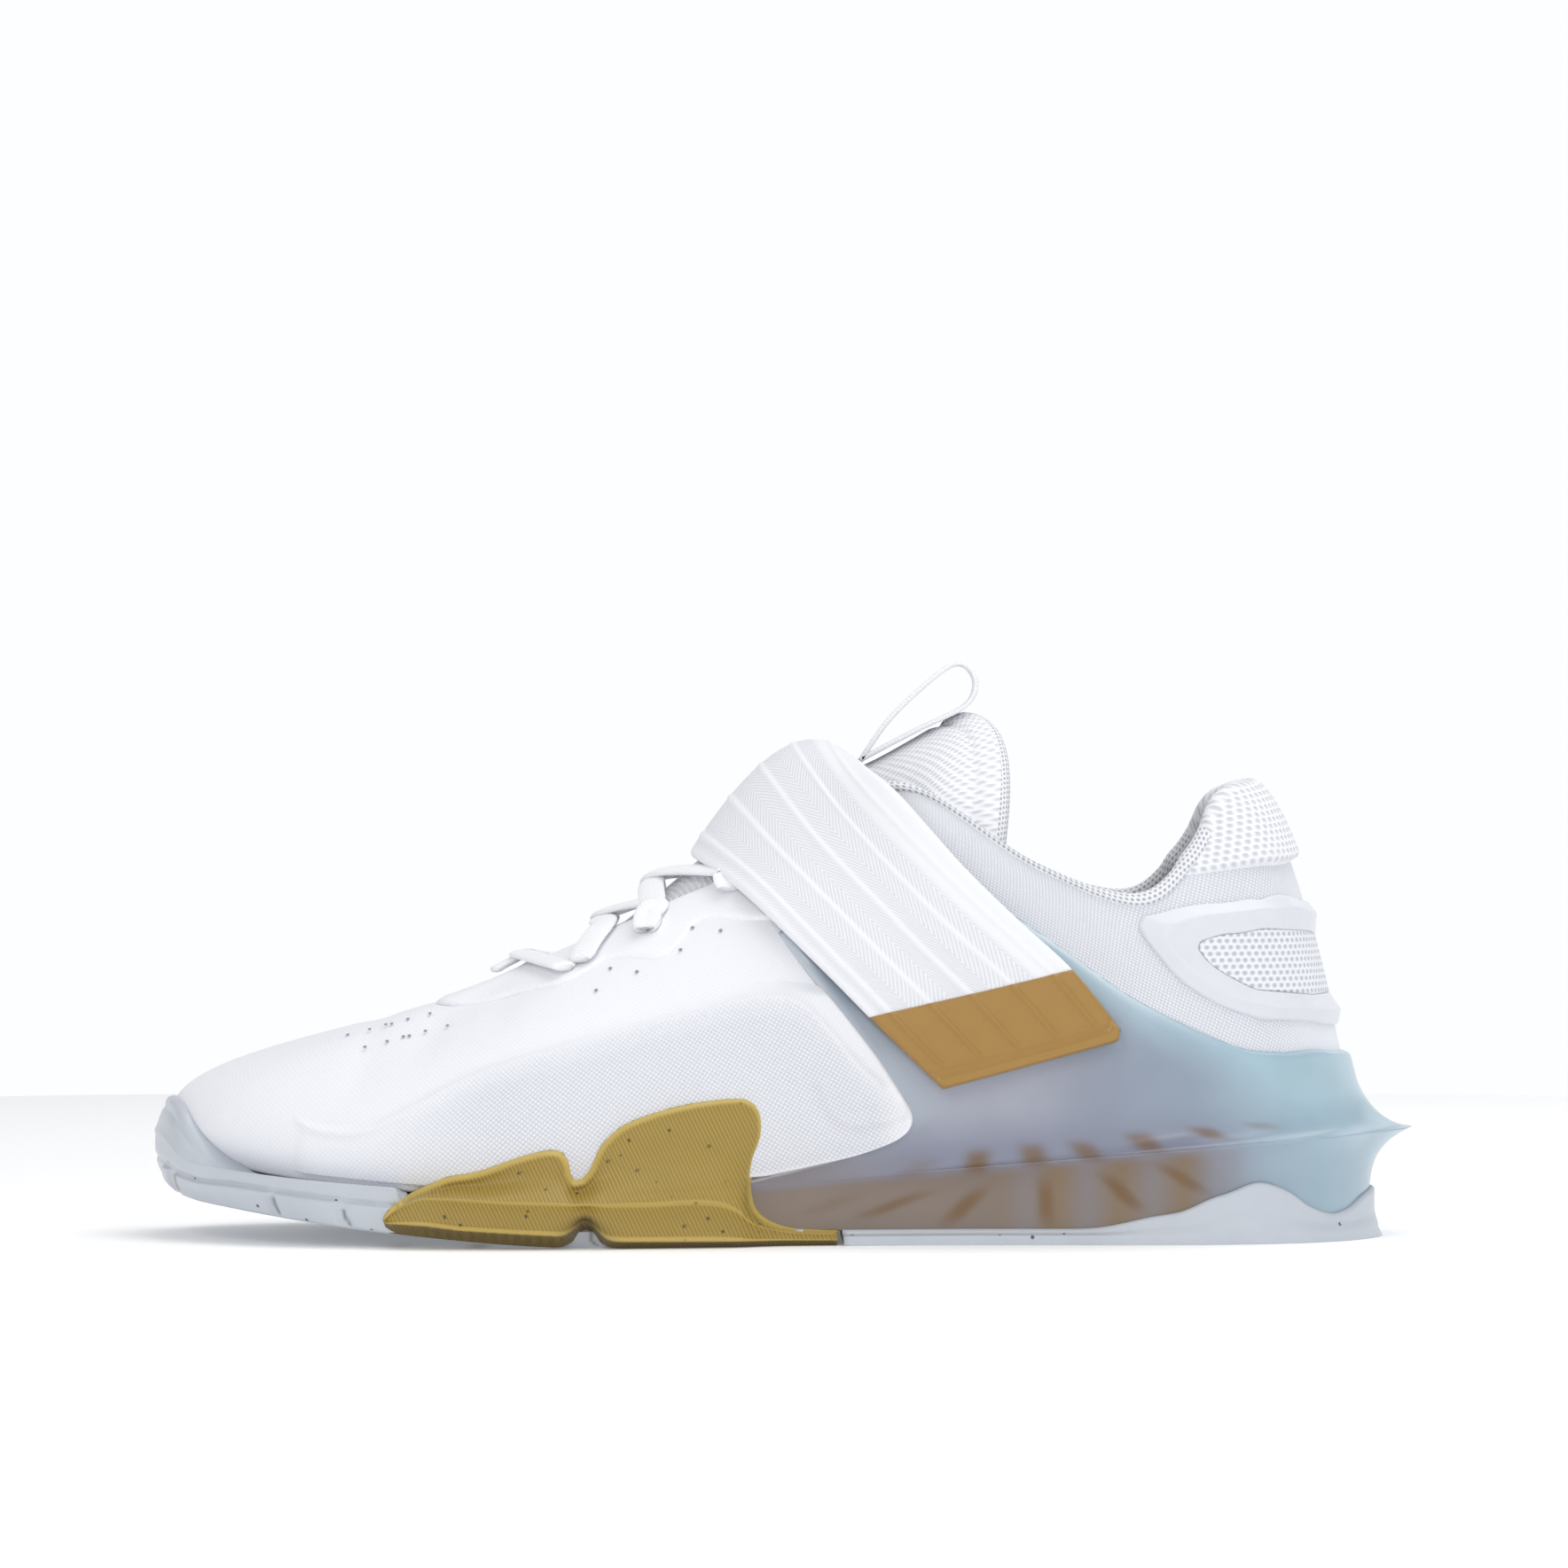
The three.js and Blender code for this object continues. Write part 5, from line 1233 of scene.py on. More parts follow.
    def outrigger(self) -> bpy.types.Object:
        """The gold wrap on the outer side, with two humps, a ridge line and a tail under the wedge."""
        last = self.last
        table = np.array(self.humps)
        dense = spline(table, np.linspace(0, len(table) - 1, 900))
        length = arc(dense[:, :2]) + 0.6 * arc(dense[:, 2:])
        at = np.linspace(0, length[-1], 320)
        top_x, top_z, ridge_x, ridge_z = (np.interp(at, length, dense[:, k])[:, None] for k in range(4))
        ridge_x = np.maximum.accumulate(ridge_x, axis=0)
        arch = hump(-45.8, 4.2, ridge_x) ** 1.4
        low_z = np.interp(ridge_x, [-93, -83, -74.8, -54, -46, -41, 12.4],
                          [6.3, 5.7, 4.7, 3.5, 2.4, 1.9, 1.4])
        low_z = low_z + 4.2 * arch
        floor_z = np.minimum(last.floor(ridge_x) + 0.02 + 3.2 * arch, low_z - 0.3)
        ridge_z = np.maximum(ridge_z, low_z + 0.4)
        rows, face_rows, under_rows = 54, 22, 10
        v = np.linspace(0, 1, rows)[None]
        x_up, z_up = top_x + (ridge_x - top_x) * v, top_z + (ridge_z - top_z) * v
        rim_line = np.concatenate([top_x, top_z], axis=1)[::4]
        to_rim = distance_to(rim_line, x_up, z_up)
        tail = smooth(-12, 0, ridge_x)
        tip = smooth(-76, -86, ridge_x)
        reach = 6.6 * (1 - tail) + 2.2 * tail
        ledge = smooth(0.35, 1.0, v) ** 1.5
        skin_y, cup_y = self.backing(x_up, z_up)
        proud = skin_y - 0.15 - 2.3 * rounding(to_rim, 1.9) - reach * ledge - 0.3 * hump(1.5, 0.7, to_rim)
        on_cup = cup_y - 0.1 - 1.6 * rounding(to_rim, 1.5) + 8 * smooth(-81, -70, x_up)
        gap = proud - on_cup
        up = np.stack([x_up, (proud + on_cup - np.sqrt(gap * gap + 1.2)) / 2, z_up], axis=-1)
        w = np.linspace(0, 1, face_rows)[None]
        ridge_y = up[:, -1:, 1]
        hollow = 1.3 * np.sin(np.pi * w) + 0.9 * w - 0.45 * hump(1.0, 0.1, w)
        hollow = hollow * (1 - 0.8 * tail) * (1 - 0.5 * tip)
        face = np.stack([ridge_x + 0 * w, ridge_y + hollow + 0.9 * arch * w,
                         ridge_z + (low_z - ridge_z) * w], axis=-1)
        t = np.linspace(0, 1, under_rows)[None]
        flute = 0.45 * np.sin(2 * np.pi * ridge_x / 2.6) * smooth(-48, -56, ridge_x)
        flute = flute * smooth(-88, -80, ridge_x) * np.sin(np.pi * t)
        under_y = face[:, -1:, 1] + (4.2 + 3.0 * arch) * t * (1 - 0.4 * tail) + flute
        under = np.stack([ridge_x + 0 * t, under_y, low_z + (floor_z - low_z) * t**1.4], axis=-1)
        feather = last.point(np.linspace(1.0, 7.5, 300), np.zeros(300))
        y_low = np.interp(ridge_x, feather[:, 0], feather[:, 1])
        base_in = np.stack([ridge_x, np.minimum(y_low + 14, -20), floor_z], axis=-1)
        inner_low = np.stack([ridge_x, y_low + 12, last.midsole_foot(ridge_x)], axis=-1)
        tuck_low = np.stack([ridge_x, np.maximum(y_low + 1.5, ridge_y + 3), ridge_z], axis=-1)
        tuck = up[:, :1] + np.array([0, 2.4, 0])
        points = np.concatenate([up, face[:, 1:], under[:, 1:], base_in, inner_low, tuck_low, tuck,
                                 up[:, :1]], axis=1)
        # Lower rim amounts paint a lighter highlight along the top edge, the ridge and the lower edge; the
        # ribs show only where it is 1.
        rim = np.ones(points.shape[:2])
        rim[:, :rows] = smooth(0.5, 1.7, to_rim)
        rim[:, rows - 2:rows + 1] = np.minimum(rim[:, rows - 2:rows + 1], 0.6)
        rim[:, rows + face_rows - 4:rows + face_rows + 1] = 0.35
        # Painted shade: dark on the faces underneath and in the hollow over the arch.
        shade = np.zeros(points.shape[:2])
        shade[:, rows + face_rows - 1:] = 0.8
        shade[:, rows:rows + face_rows] = (arch ** 0.6) * smooth(0.35, 0.85, w[:, :face_rows])
        return lay("gold_outrigger", points, None, {"rim": rim, "shade": shade})

    def heel(self) -> bpy.types.Object:
        """The heel rubber: a thin line under the wedge with one wave near the back."""
        last = self.last
        station = np.linspace(5.27, ROUND - 5.27, 320)[:, None]
        along = from_toe(station)
        foot = last.point(station, 0.0)
        x = foot[..., 0]
        wave = np.array([[0, 3.3], [7.4, 3.7], [8.4, 7.2], [9.0, 11.6], [9.5, 14.9], [9.9, 12.8],
                         [10.25, 8.4], [10.65, 6.2], [11.0, 7.2], [11.5, 10.6], [12, 12]])
        lane = np.linspace(0, 12, 241)
        top = np.maximum(np.interp(along, lane, self.soften(table_value(wave, 1, lane))), 3.4)
        bottom_z, top_z = last.midsole_foot(x), last.bed(x) - last.clearance

        def reach(height: np.ndarray) -> np.ndarray:
            share = np.clip((height - bottom_z) / (top_z - bottom_z), 0, 1)
            return last.midsole_reach(station, share)

        v = np.linspace(0, 1, 26)[None]
        height = top + (2.1 - top) * v
        thick = 1.25 * rounding(v * (top - 2.1) + 0.05, 1.1) + 0.35 * smooth(0.0, 1.0, v)
        belly = last.sole(station, "belly")
        out = (reach(height) + thick) * (1 - smooth(0.55, 1, v)) + belly * smooth(0.55, 1, v)
        wall = last.around(station, out, height)
        t = np.linspace(0, 1, 8)[None]
        low_reach = belly + (last.sole(station, "ground") - belly) * t
        low = last.around(station, low_reach, 2.1 * (1 - t) + 0 * low_reach)
        spine = last.spine(station)
        share = np.linspace(0.05, 1, 22)[None, :, None]
        under = low[:, -1:] * (1 - share) + spine * share
        under[..., 2] = 0
        for groove in (0.6, 0.68, 0.76, 0.84, 0.92):
            gap = np.abs(under[..., 0] - (groove - 0.5) * last.length)
            under[..., 2] += 1.2 * smooth(1.7, 0.9, gap) * smooth(0, 0.15, share[..., 0])
        spine_up = spine.copy()
        spine_up[..., 2] = 3
        inner = last.around(station, reach(top) - 0.6, top - 0.2)
        inner_low = last.around(station, -1.0, 3.0 + 0 * top)
        points = np.concatenate([wall, low[:, 1:], under, spine_up, inner_low, inner, wall[:, :1]], axis=1)
        return lay("heel_rubber", points)

    @staticmethod
    def soften(values: np.ndarray) -> np.ndarray:
        """Takes the corners off a line of values."""
        for _ in range(12):
            values[1:-1] = (values[:-2] + 2 * values[1:-1] + values[2:]) / 4
        return values

    def build(self) -> None:
        """Builds and dresses the rubbers."""
        grey = Rubber("moulded grey rubber", "#c6ccd4", roughness=0.4, coat=0.15)
        material = grey.material()
        set_piece(self.front(), material, "grey_rubber", "outsole_front")
        set_piece(self.heel(), material, "grey_rubber", "outsole_heel")
        # rim is the lighter painted highlight colour on the outrigger's edges.
        gold = Rubber("moulded gold rubber", "#b39642", roughness=0.42, coat=0.12, rib_pitch=0.85,
                      rim="#c3aa58", speck="#2b261d", specks=0.7)
        set_piece(self.outrigger(), gold.material(), "gold_rubber", "outrigger")


@dataclass
class Tongue:
    """The padded knit tongue, with piping round its free end, and the pull loop on it."""

    last: Last
    thickness: float = 5
    binding_wall: float = 1.5
    # station, level, crest x share, crest rise, sweep
    table: tuple = (
        (1.50, 0.89, -0.268, 0.455, 0), (2.49, 0.88, -0.215, 0.515, 0), (3.12, 0.87, -0.165, 0.605, 0),
        (3.75, 0.87, -0.11, 0.715, 0), (4.35, 0.85, -0.05, 0.845, 0), (5.01, 0.83, 0.012, 0.965, 0),
        (5.65, 0.81, 0.062, 1.0, 0.005), (6.40, 0.84, 0.10, 1.045, 0.02), (7.20, 0.90, 0.135, 1.095, 0.045),
        (7.77, 0.95, 0.152, 1.112, 0.07))

    @property
    def seat(self) -> float:
        """How far the tongue lies under the upper's face."""
        return -(self.last.upper_wall + self.binding_wall + 3 * self.last.clearance)

    def face(self, along: np.ndarray, across: np.ndarray) -> np.ndarray:
        """The tongue's face before it is set in under the upper."""
        last = self.last
        along, across = np.broadcast_arrays(along, across)
        row = spline(np.array(self.table, float), along * (len(self.table) - 1))
        side = np.where(across < 0.5, row[..., 0], ROUND - row[..., 0])
        wing, edge = last.point(side, row[..., 1]), last.point(side, 1.0)
        x = row[..., 2] * last.length
        z = last.bed(x) + row[..., 3] * last.instep
        crest = np.stack([x, 0 * x, z], axis=-1)
        shoulder = np.stack([x + row[..., 4] * last.length, edge[..., 1] * 0.7, z], axis=-1)
        t = (1 - np.abs(2 * across - 1))[..., None]
        low = 1 - t
        second = wing + (edge - wing) * 0.8
        return wing * low**3 + 3 * second * low**2 * t + 3 * shoulder * low * t**2 + crest * t**3

    def normal(self, along: np.ndarray, across: np.ndarray) -> np.ndarray:
        """Outward directions on the face."""
        step = 0.01
        back, on = np.clip(along - step, 0, 1), np.clip(along + step, 0, 1)
        left, right = np.clip(across - step, 0, 1), np.clip(across + step, 0, 1)
        ahead = self.face(on, across) - self.face(back, across)
        return unit(np.cross(ahead, self.face(along, right) - self.face(along, left)))

    def pad(self) -> bpy.types.Object:
        """The pad itself, with a full round at its free end."""
        columns, rows = 140, 70
        along = np.linspace(0, 1, columns)[:, None]
        across = np.linspace(0, 1, rows)[None]
        face = self.face(along, across)
        normal = self.normal(along, across)
        to_end = arc(face[::-1])[::-1]
        fill = 0.35 + 0.65 * rounding(to_end, 3.2)
        lower_puff = 2.4 * smooth(0.0, 0.15, along) * smooth(0.6, 0.48, along)
        puff = np.sin(np.pi * across) * (0.5 * smooth(0.5, 0.8, along) + lower_puff)
        seam = 0.9 * hump(9.0, 1.2, to_end) * smooth(0.5, 0.7, along)
        middle = self.seat - self.thickness / 2
        top = face + normal * (middle + self.thickness / 2 * fill + puff - seam)[..., None]
        under = face + normal * (middle - self.thickness / 2 * fill)[..., None]
        points = folded(top, under[:, ::-1])
        u = arc(face[:, rows // 2])[:, None] + 0 * across
        v = arc_up(face)
        v = v - v[:, rows // 2:rows // 2 + 1]
        cloth = np.stack([u, v], axis=-1)
        uv = folded(cloth)
        return lay("tongue_pad", points, uv)

    def piping(self) -> bpy.types.Object:
        """A flat knit binding folded over the tongue's free end."""
        across = np.linspace(0.03, 0.97, 220)[:, None]
        turn = np.linspace(0, 2 * np.pi, 25)[None]
        end = np.ones_like(across)
        centre = self.face(end, across)
        normal = self.normal(end, across)
        back = unit(self.face(end, across) - self.face(end - 0.03, across))
        middle = centre + normal * (self.seat - self.thickness / 2)
        width, height = 2.3, self.thickness / 2 + 0.3
        points = (middle + back * (np.cos(turn) * width - 2.0)[..., None]
                  + normal * (np.sin(turn) * height)[..., None])
        points[:, -1] = points[:, 0]
        length = arc(centre[:, 0])[:, None]
        uv = np.stack([length + 0 * turn, turn / (2 * np.pi) * 20 + 0 * length], axis=-1)
        return lay("tongue_piping", points, uv)

    def pull_loop(self) -> bpy.types.Object:
        """A tape folded into a loop that stands on the tongue."""
        last = self.last
        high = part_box("pull_loop")[1]
        middle = trace([last.side([(0.0665, 0.980), (0.094, 1.080), (0.1375, 1.1785), (0.1560, 1.191),
                                   (0.1668, 1.148), (0.1585, 1.093), (0.120, 1.048), (0.090, 1.012),
                                   (0.068, 0.984)])], 150)
        middle[:, 1] += high.z / MM - middle[:, 1].max() - 0.75
        ahead = unit(np.gradient(middle, axis=0))
        out = np.stack([-ahead[:, 1], ahead[:, 0]], axis=1)
        half, wall = 6.4, 0.62
        across = np.concatenate([np.linspace(-1, 1, 17), np.linspace(1, -1, 17), [-1]])[None]
        face_side = np.concatenate([np.ones(17), -np.ones(17), [1]])[None]
        round_off = rounding(half * (1 - np.abs(across)) + 0.15, 0.7)
        offset = face_side * wall * round_off
        x = middle[:, :1] + out[:, :1] * offset
        z = middle[:, 1:] + out[:, 1:] * offset
        y = across * half + 0 * x
        points = np.stack([x, y, z], axis=-1)
        length = arc(middle)[:, None]
        uv = np.stack([length + 0 * across, across * half + half + 0 * length], axis=-1)
        return lay("pull_loop_tape", points, uv)

    def build(self) -> None:
        """Builds and dresses the tongue."""
        knit = KnitCloth("spacer knit", "#f1f2f6", roughness=0.9, sheen=0.2, across=1.7, along=1.4,
                         gap="#d8dbe2")
        pad = set_piece(self.pad(), knit.material(), "tongue_knit", "tongue")
        set_piece(self.piping(), PIPING.material(), "piping_knit")
        tape = StitchedTape("stitched tape", "#f2f3f6", roughness=0.75, sheen=0.1)
        set_piece(self.pull_loop(), tape.material(), "tape", "pull_loop")


PIPING = KnitCloth("dotted piping knit", "#eeeff2", roughness=0.85, sheen=0.15, across=1.4, along=1.2,
                   gap="#989da9", depth=0.0002)


@dataclass
class Collar:
    """The knit piping, the padded heel tab, and the moulded frame with its window."""

    last: Last
    binding_start: float = 6.75
    pad_start: float = 9.74

    def piping(self, side: Side) -> bpy.types.Object:
        """Round piping on the collar edge."""
        last = self.last
        start, end = self.binding_start - 0.35, 10.75
        if side is Side.INNER:
            start, end = ROUND - end, ROUND - start
        station = np.linspace(start, end, 260)[:, None]
        low = last.below_edge(station, 1.5)
        path = np.concatenate([np.linspace(0, 1, 9), np.linspace(1.1, 1.9, 9), np.linspace(2, 3, 9)])[None]
        from_middle = np.abs(path - 1.5) / 1.5
        along = from_toe(station)
        outside = 0.7 * smooth(9.7, 10.0, along) * smooth(10.75, 10.5, along)
        offset = 0.2 + (1.1 + outside) * np.sqrt(np.clip(1 - from_middle**4, 0, 1))
        over = last.over_edge(station, low, path, offset)
        under = last.over_edge(station, low, path[:, ::-1], -0.3)
        points = folded(over, under)
        u = arc(over[:, 13])[:, None] + 0 * path
        v = arc_up(over)
        cloth = np.stack([u, v], axis=-1)
        uv = folded(cloth)
        return lay(f"collar_piping_{side.value}", points, uv)

    def heel_tab(self) -> bpy.types.Object:
        """Thick waffle knit folded over the back of the collar."""
        last = self.last
        seam = np.array([[9.7, 86.2], [11.0, 88.4], [12, 89.3]])
        station = np.linspace(self.pad_start, ROUND - self.pad_start, 170)[:, None]
        along = from_toe(station)
        low = last.level_at(station, table_value(seam, 1, along))
        path = np.concatenate([np.linspace(0, 1, 46), np.linspace(1.08, 1.92, 14),
                               np.linspace(2, 3, 26)])[None]
        outer = last.over_edge(station, low, path, 0.0)
        from_low = arc_up(outer)
        from_top = from_low[:, -1:] - from_low
        full = 0.25 + 0.75 * smooth(self.pad_start, 11.0, along)
        offset = 0.1 + 2.75 * rounding(np.minimum(from_low, from_top), 2.0) * full
        cloth_u = arc(outer[:, 30])[:, None] + 0 * path
        over = last.over_edge(station, low, path, offset)
        under = last.over_edge(station, low, path[:, ::-1], -0.3)
        points = folded(over, under)
        cloth = np.stack([cloth_u, from_low], axis=-1)
        uv = folded(cloth)
        return lay("heel_tab_pad", points, uv)

    def outline(self, top: list, low: list, top_back: list, low_back: list, count: int) -> np.ndarray:
        """A closed outline round the heel, as stations and levels, from its outer front over the top.

        Args:
            top: Upper edge on the outer side, x and z.
            low: Lower edge on the outer side, x and z.
            top_back: The rest of the upper edge to the middle of the heel, station and z.
            low_back: The same for the lower edge.
            count: How many places each edge gets.

        Returns:
            Stations and levels.
        """
        last = self.last
        halves = []
        for line, rest in ((top, top_back), (low, low_back)):
            rest = np.array(rest, float)
            rest[:, 1] = last.level_at(rest[:, 0], rest[:, 1])
            half = trace([np.concatenate([last.find(np.array(line, float)), rest])], 300)
            full = np.concatenate([half, np.stack([ROUND - half[::-1, 0], half[::-1, 1]], axis=1)[1:]])
            length = arc(last.point(full[:, 0], full[:, 1]))
            at = np.linspace(0, length[-1], count)
            halves.append(np.stack([np.interp(at, length, full[:, k]) for k in (0, 1)], axis=1))
        return np.concatenate([halves[0], halves[1][::-1][1:]])

    def frame(self) -> tuple[bpy.types.Object, bpy.types.Object]:
        """The moulded ring round the heel and the waffle knit in its window."""
        last = self.last
        count = 230
        outer = self.outline([(82.9, 74.3), (83.3, 75.6), (84.9, 76.8), (91.2, 78.3), (99.3, 79.6),
                              (108.3, 80.5), (113, 80.8)],
                             [(82.9, 74.3), (83.4, 73.0), (85.8, 69.5), (90.3, 64.1), (94.8, 60.1),
                              (102, 55.8), (109.2, 53.3), (114, 52.2)],
                             [(11.4, 80.2), (12, 79.6)], [(11.1, 50.8), (12, 50.2)], count)
        window = self.outline([(97.2, 69.4), (97.5, 70.2), (98.6, 71.0), (103.8, 72.3), (110.9, 73.2)],
                              [(97.2, 69.4), (97.5, 68.4), (100.2, 65.3), (105.6, 61.9), (112.8, 59.2)],
                              [(11.0, 73.0), (12, 71.2)], [(11.0, 58.0), (12, 58.0)], count)
        rows = 28
        share = np.linspace(0, 1, rows)[None, :, None]
        patch = outer[:, None] * (1 - share) + window[:, None] * share
        station, level = patch[..., 0], patch[..., 1]
        base = last.point(station, level)
        width = arc_up(base)
        total = width[:, -1:]
        crest = 1 - np.abs(width / total - 0.42) / 0.58
        height = 0.6 * rounding(width, 0.7) + 1.7 * np.clip(crest, 0, 1) ** 1.3
        height = height * rounding(total - width, 0.7) + 0.05
        top = last.skin(station, level, height)
        under = last.skin(station, level, -0.5)[:, ::-1]
        ring = lay("heel_frame_ring", folded(top, under))
        upper_line = window[:count]
        lower_line = np.concatenate([window[:1], window[count:][::-1]])
        share = np.linspace(0, 1, 25)[None, :, None]
        patch = lower_line[:, None] * (1 - share) + upper_line[:, None] * share
        station, level = patch[..., 0], patch[..., 1]
        base = last.point(station, level)
        u = arc(base[:, 12])[:, None] + 0 * share[..., 0]
        v = base[..., 2] - 58
        top = last.skin(station, level, 0.5)
        under = last.skin(station, level, -0.5)[:, ::-1]
        cloth = np.stack([u, v], axis=-1)
        uv = folded(cloth)
        knit = lay("heel_window_knit", folded(top, under), uv)
        return ring, knit

    def build(self) -> None:
        """Builds and dresses the collar."""
        piping = PIPING.material()
        for side in Side:
            set_piece(self.piping(side), piping, "piping_knit", f"collar_binding_{side.value}")
        waffle = KnitCloth("waffle knit", "#f0f1f5", roughness=0.85, sheen=0.2, across=2.3, along=1.6,
                           gap="#cfd2d9", depth=0.0004)
        tab = set_piece(self.heel_tab(), waffle.material(), "waffle_knit", "heel_tab")
        ring, knit = self.frame()
        moulded = Finish("moulded satin overlay", "#dfe1e7", roughness=0.32, coat=0.25)
        set_piece(ring, moulded.material(), "moulded_overlay", "heel_frame")
        window = KnitCloth("window waffle knit", "#eceef3", roughness=0.85, sheen=0.2, across=2.0, along=1.5,
                           gap="#bbbfca", depth=0.0004)
        set_piece(knit, window.material(), "waffle_knit")


@dataclass
class Strap:
    """The instep strap of webbing with its moulded gold end."""

    last: Last
    thickness: float = 2.3
    rib: float = 0.4
    end_thickness: float = 2.8
    # In the side view: front edge x z, rear edge x z
    rows: tuple = ((36.7, 36.9, 80.0, 48.3), (19.7, 53.0, 67.0, 64.0), (12.4, 60.2, 54.6, 75.2),
                   (5.2, 67.1, 42.7, 86.8), (-8.1, 79.4, 26.4, 106.0))
    crest: tuple = ((-0.0765, 0.765), (0.0036, 1.091), (0.047, 0.98))

    def line(self, across: float) -> np.ndarray:
        """Control points of one line along the strap, from its outer end over the instep."""
        last = self.last
        seat = 2 * last.clearance + last.clip_wall
        rows = np.array(self.rows)
        station, level = last.find(rows[:, :2] + (rows[:, 2:] - rows[:, :2]) * across).T
        outer = last.skin(station, level, seat)
        inner = last.skin(ROUND - station, level, seat)
        front, middle, rear = last.side(self.crest)
        across = across - 0.32 * across * (1 - across)
        low = 1 - across
        top = front * low**2 + 2 * middle * low * across + rear * across**2
        return np.concatenate([outer, [[top[0], 0, top[1]]], inner[::-1]])

    def face(self, start: float, end: float, count: int, across: np.ndarray) -> np.ndarray:
        """Places under the strap between two of its places, which count the rows from the outer end."""
        columns = []
        fine = 600
        for share in across:
            points = self.line(float(share))
            chord = np.concatenate([[0], np.cumsum(np.sqrt(np.linalg.norm(np.diff(points, axis=0), axis=1)))])
            dense = []
            for axis in range(3):
                slopes = np.gradient(points[:, axis], chord)
                at = np.linspace(0, chord[-1], fine)
                index = np.clip(np.searchsorted(chord, at, side="right") - 1, 0, len(chord) - 2)
                h = chord[index + 1] - chord[index]
                t = (at - chord[index]) / h
                p0, p1 = points[index, axis], points[index + 1, axis]
                m0, m1 = slopes[index] * h, slopes[index + 1] * h
                dense.append((2 * t**3 - 3 * t**2 + 1) * p0 + (t**3 - 2 * t**2 + t) * m0
                             + (3 * t**2 - 2 * t**3) * p1 + (t**3 - t**2) * m1)
            corner = 0.12 * smooth(0.92, 1.0, share) ** 2 * (start == 0)
            at_rows = np.interp(np.linspace(start + corner, end, count), np.arange(len(points)), chord)
            dense = np.stack(dense, axis=1)
            columns.append(np.stack([np.interp(at_rows, np.linspace(0, chord[-1], fine), dense[:, k])
                                     for k in range(3)], axis=1))
        return np.stack(columns, axis=1)

    def band(self, name: str, start: float, end: float, count: int, thick: float,
             is_end: bool) -> bpy.types.Object:
        """One band of the strap with raised lines along it."""
        width = 42.0
        edge_steps = np.array([0, 0.25, 0.6, 1.1, 1.7]) / width
        across = np.concatenate([edge_steps, np.linspace(2.6, width - 2.6, 84) / width, 1 - edge_steps[::-1]])
        face = self.face(start, end, count, across)
        across = across[None]
        from_edge = np.minimum(across, 1 - across) * width
        lines = np.array([0.1, 0.3, 0.5, 0.7, 0.9])
        near = np.abs(across[..., None] - lines).min(axis=-1) * width
        rib = (0.75 if is_end else self.rib) * hump(0, 0.5, near)
        length = arc(face[:, face.shape[1] // 2])[:, None]
        height = thick * (0.25 + 0.75 * rounding(from_edge + 0.02, 1.2))
        top_extra = rib + 0 * length
        rim = 1.0
        if is_end:
            to_seam = length[-1:] - length
            border = smooth(3.4, 2.6, length) * smooth(0.2, 0.8, length)
            channel = hump(4.4, 0.8, length)
            top_extra = top_extra * smooth(5, 7, length) + 0.4 * border - 0.35 * channel
            rim = np.minimum(rounding(length + 0.02, 1.3), 0.4 + 0.6 * rounding(to_seam + 0.02, 0.8))
        thickness = height * rim + top_extra * rounding(from_edge, 1.2)
        v = across * width
        uv = np.stack([length + 0 * v, v + 0 * length], axis=-1)
        plain = smooth(0.5, 0.9, near) * smooth(0.84, 0.8, across) * smooth(0.03, 0.05, across) + 0 * length
        return band(name, face[:, ::-1], thickness[:, ::-1], uv[:, ::-1], 0.0, {"plain": plain[:, ::-1]})

    def build(self) -> None:
        """Builds and dresses the strap."""
        webbing = Webbing("herringbone webbing", "#edeef2", roughness=0.8, sheen=0.1)
        set_piece(self.band("strap_webbing", 1.0, 10.0, 250, self.thickness, False), webbing.material(),
                  "webbing", "strap")
        gold = Finish("moulded gold end", "#a37c38", roughness=0.38, coat=0.15)
        set_piece(self.band("strap_gold_end", 0.0, 1.02, 72, self.end_thickness, True), gold.material(),
                  "gold_moulding", "strap_end")


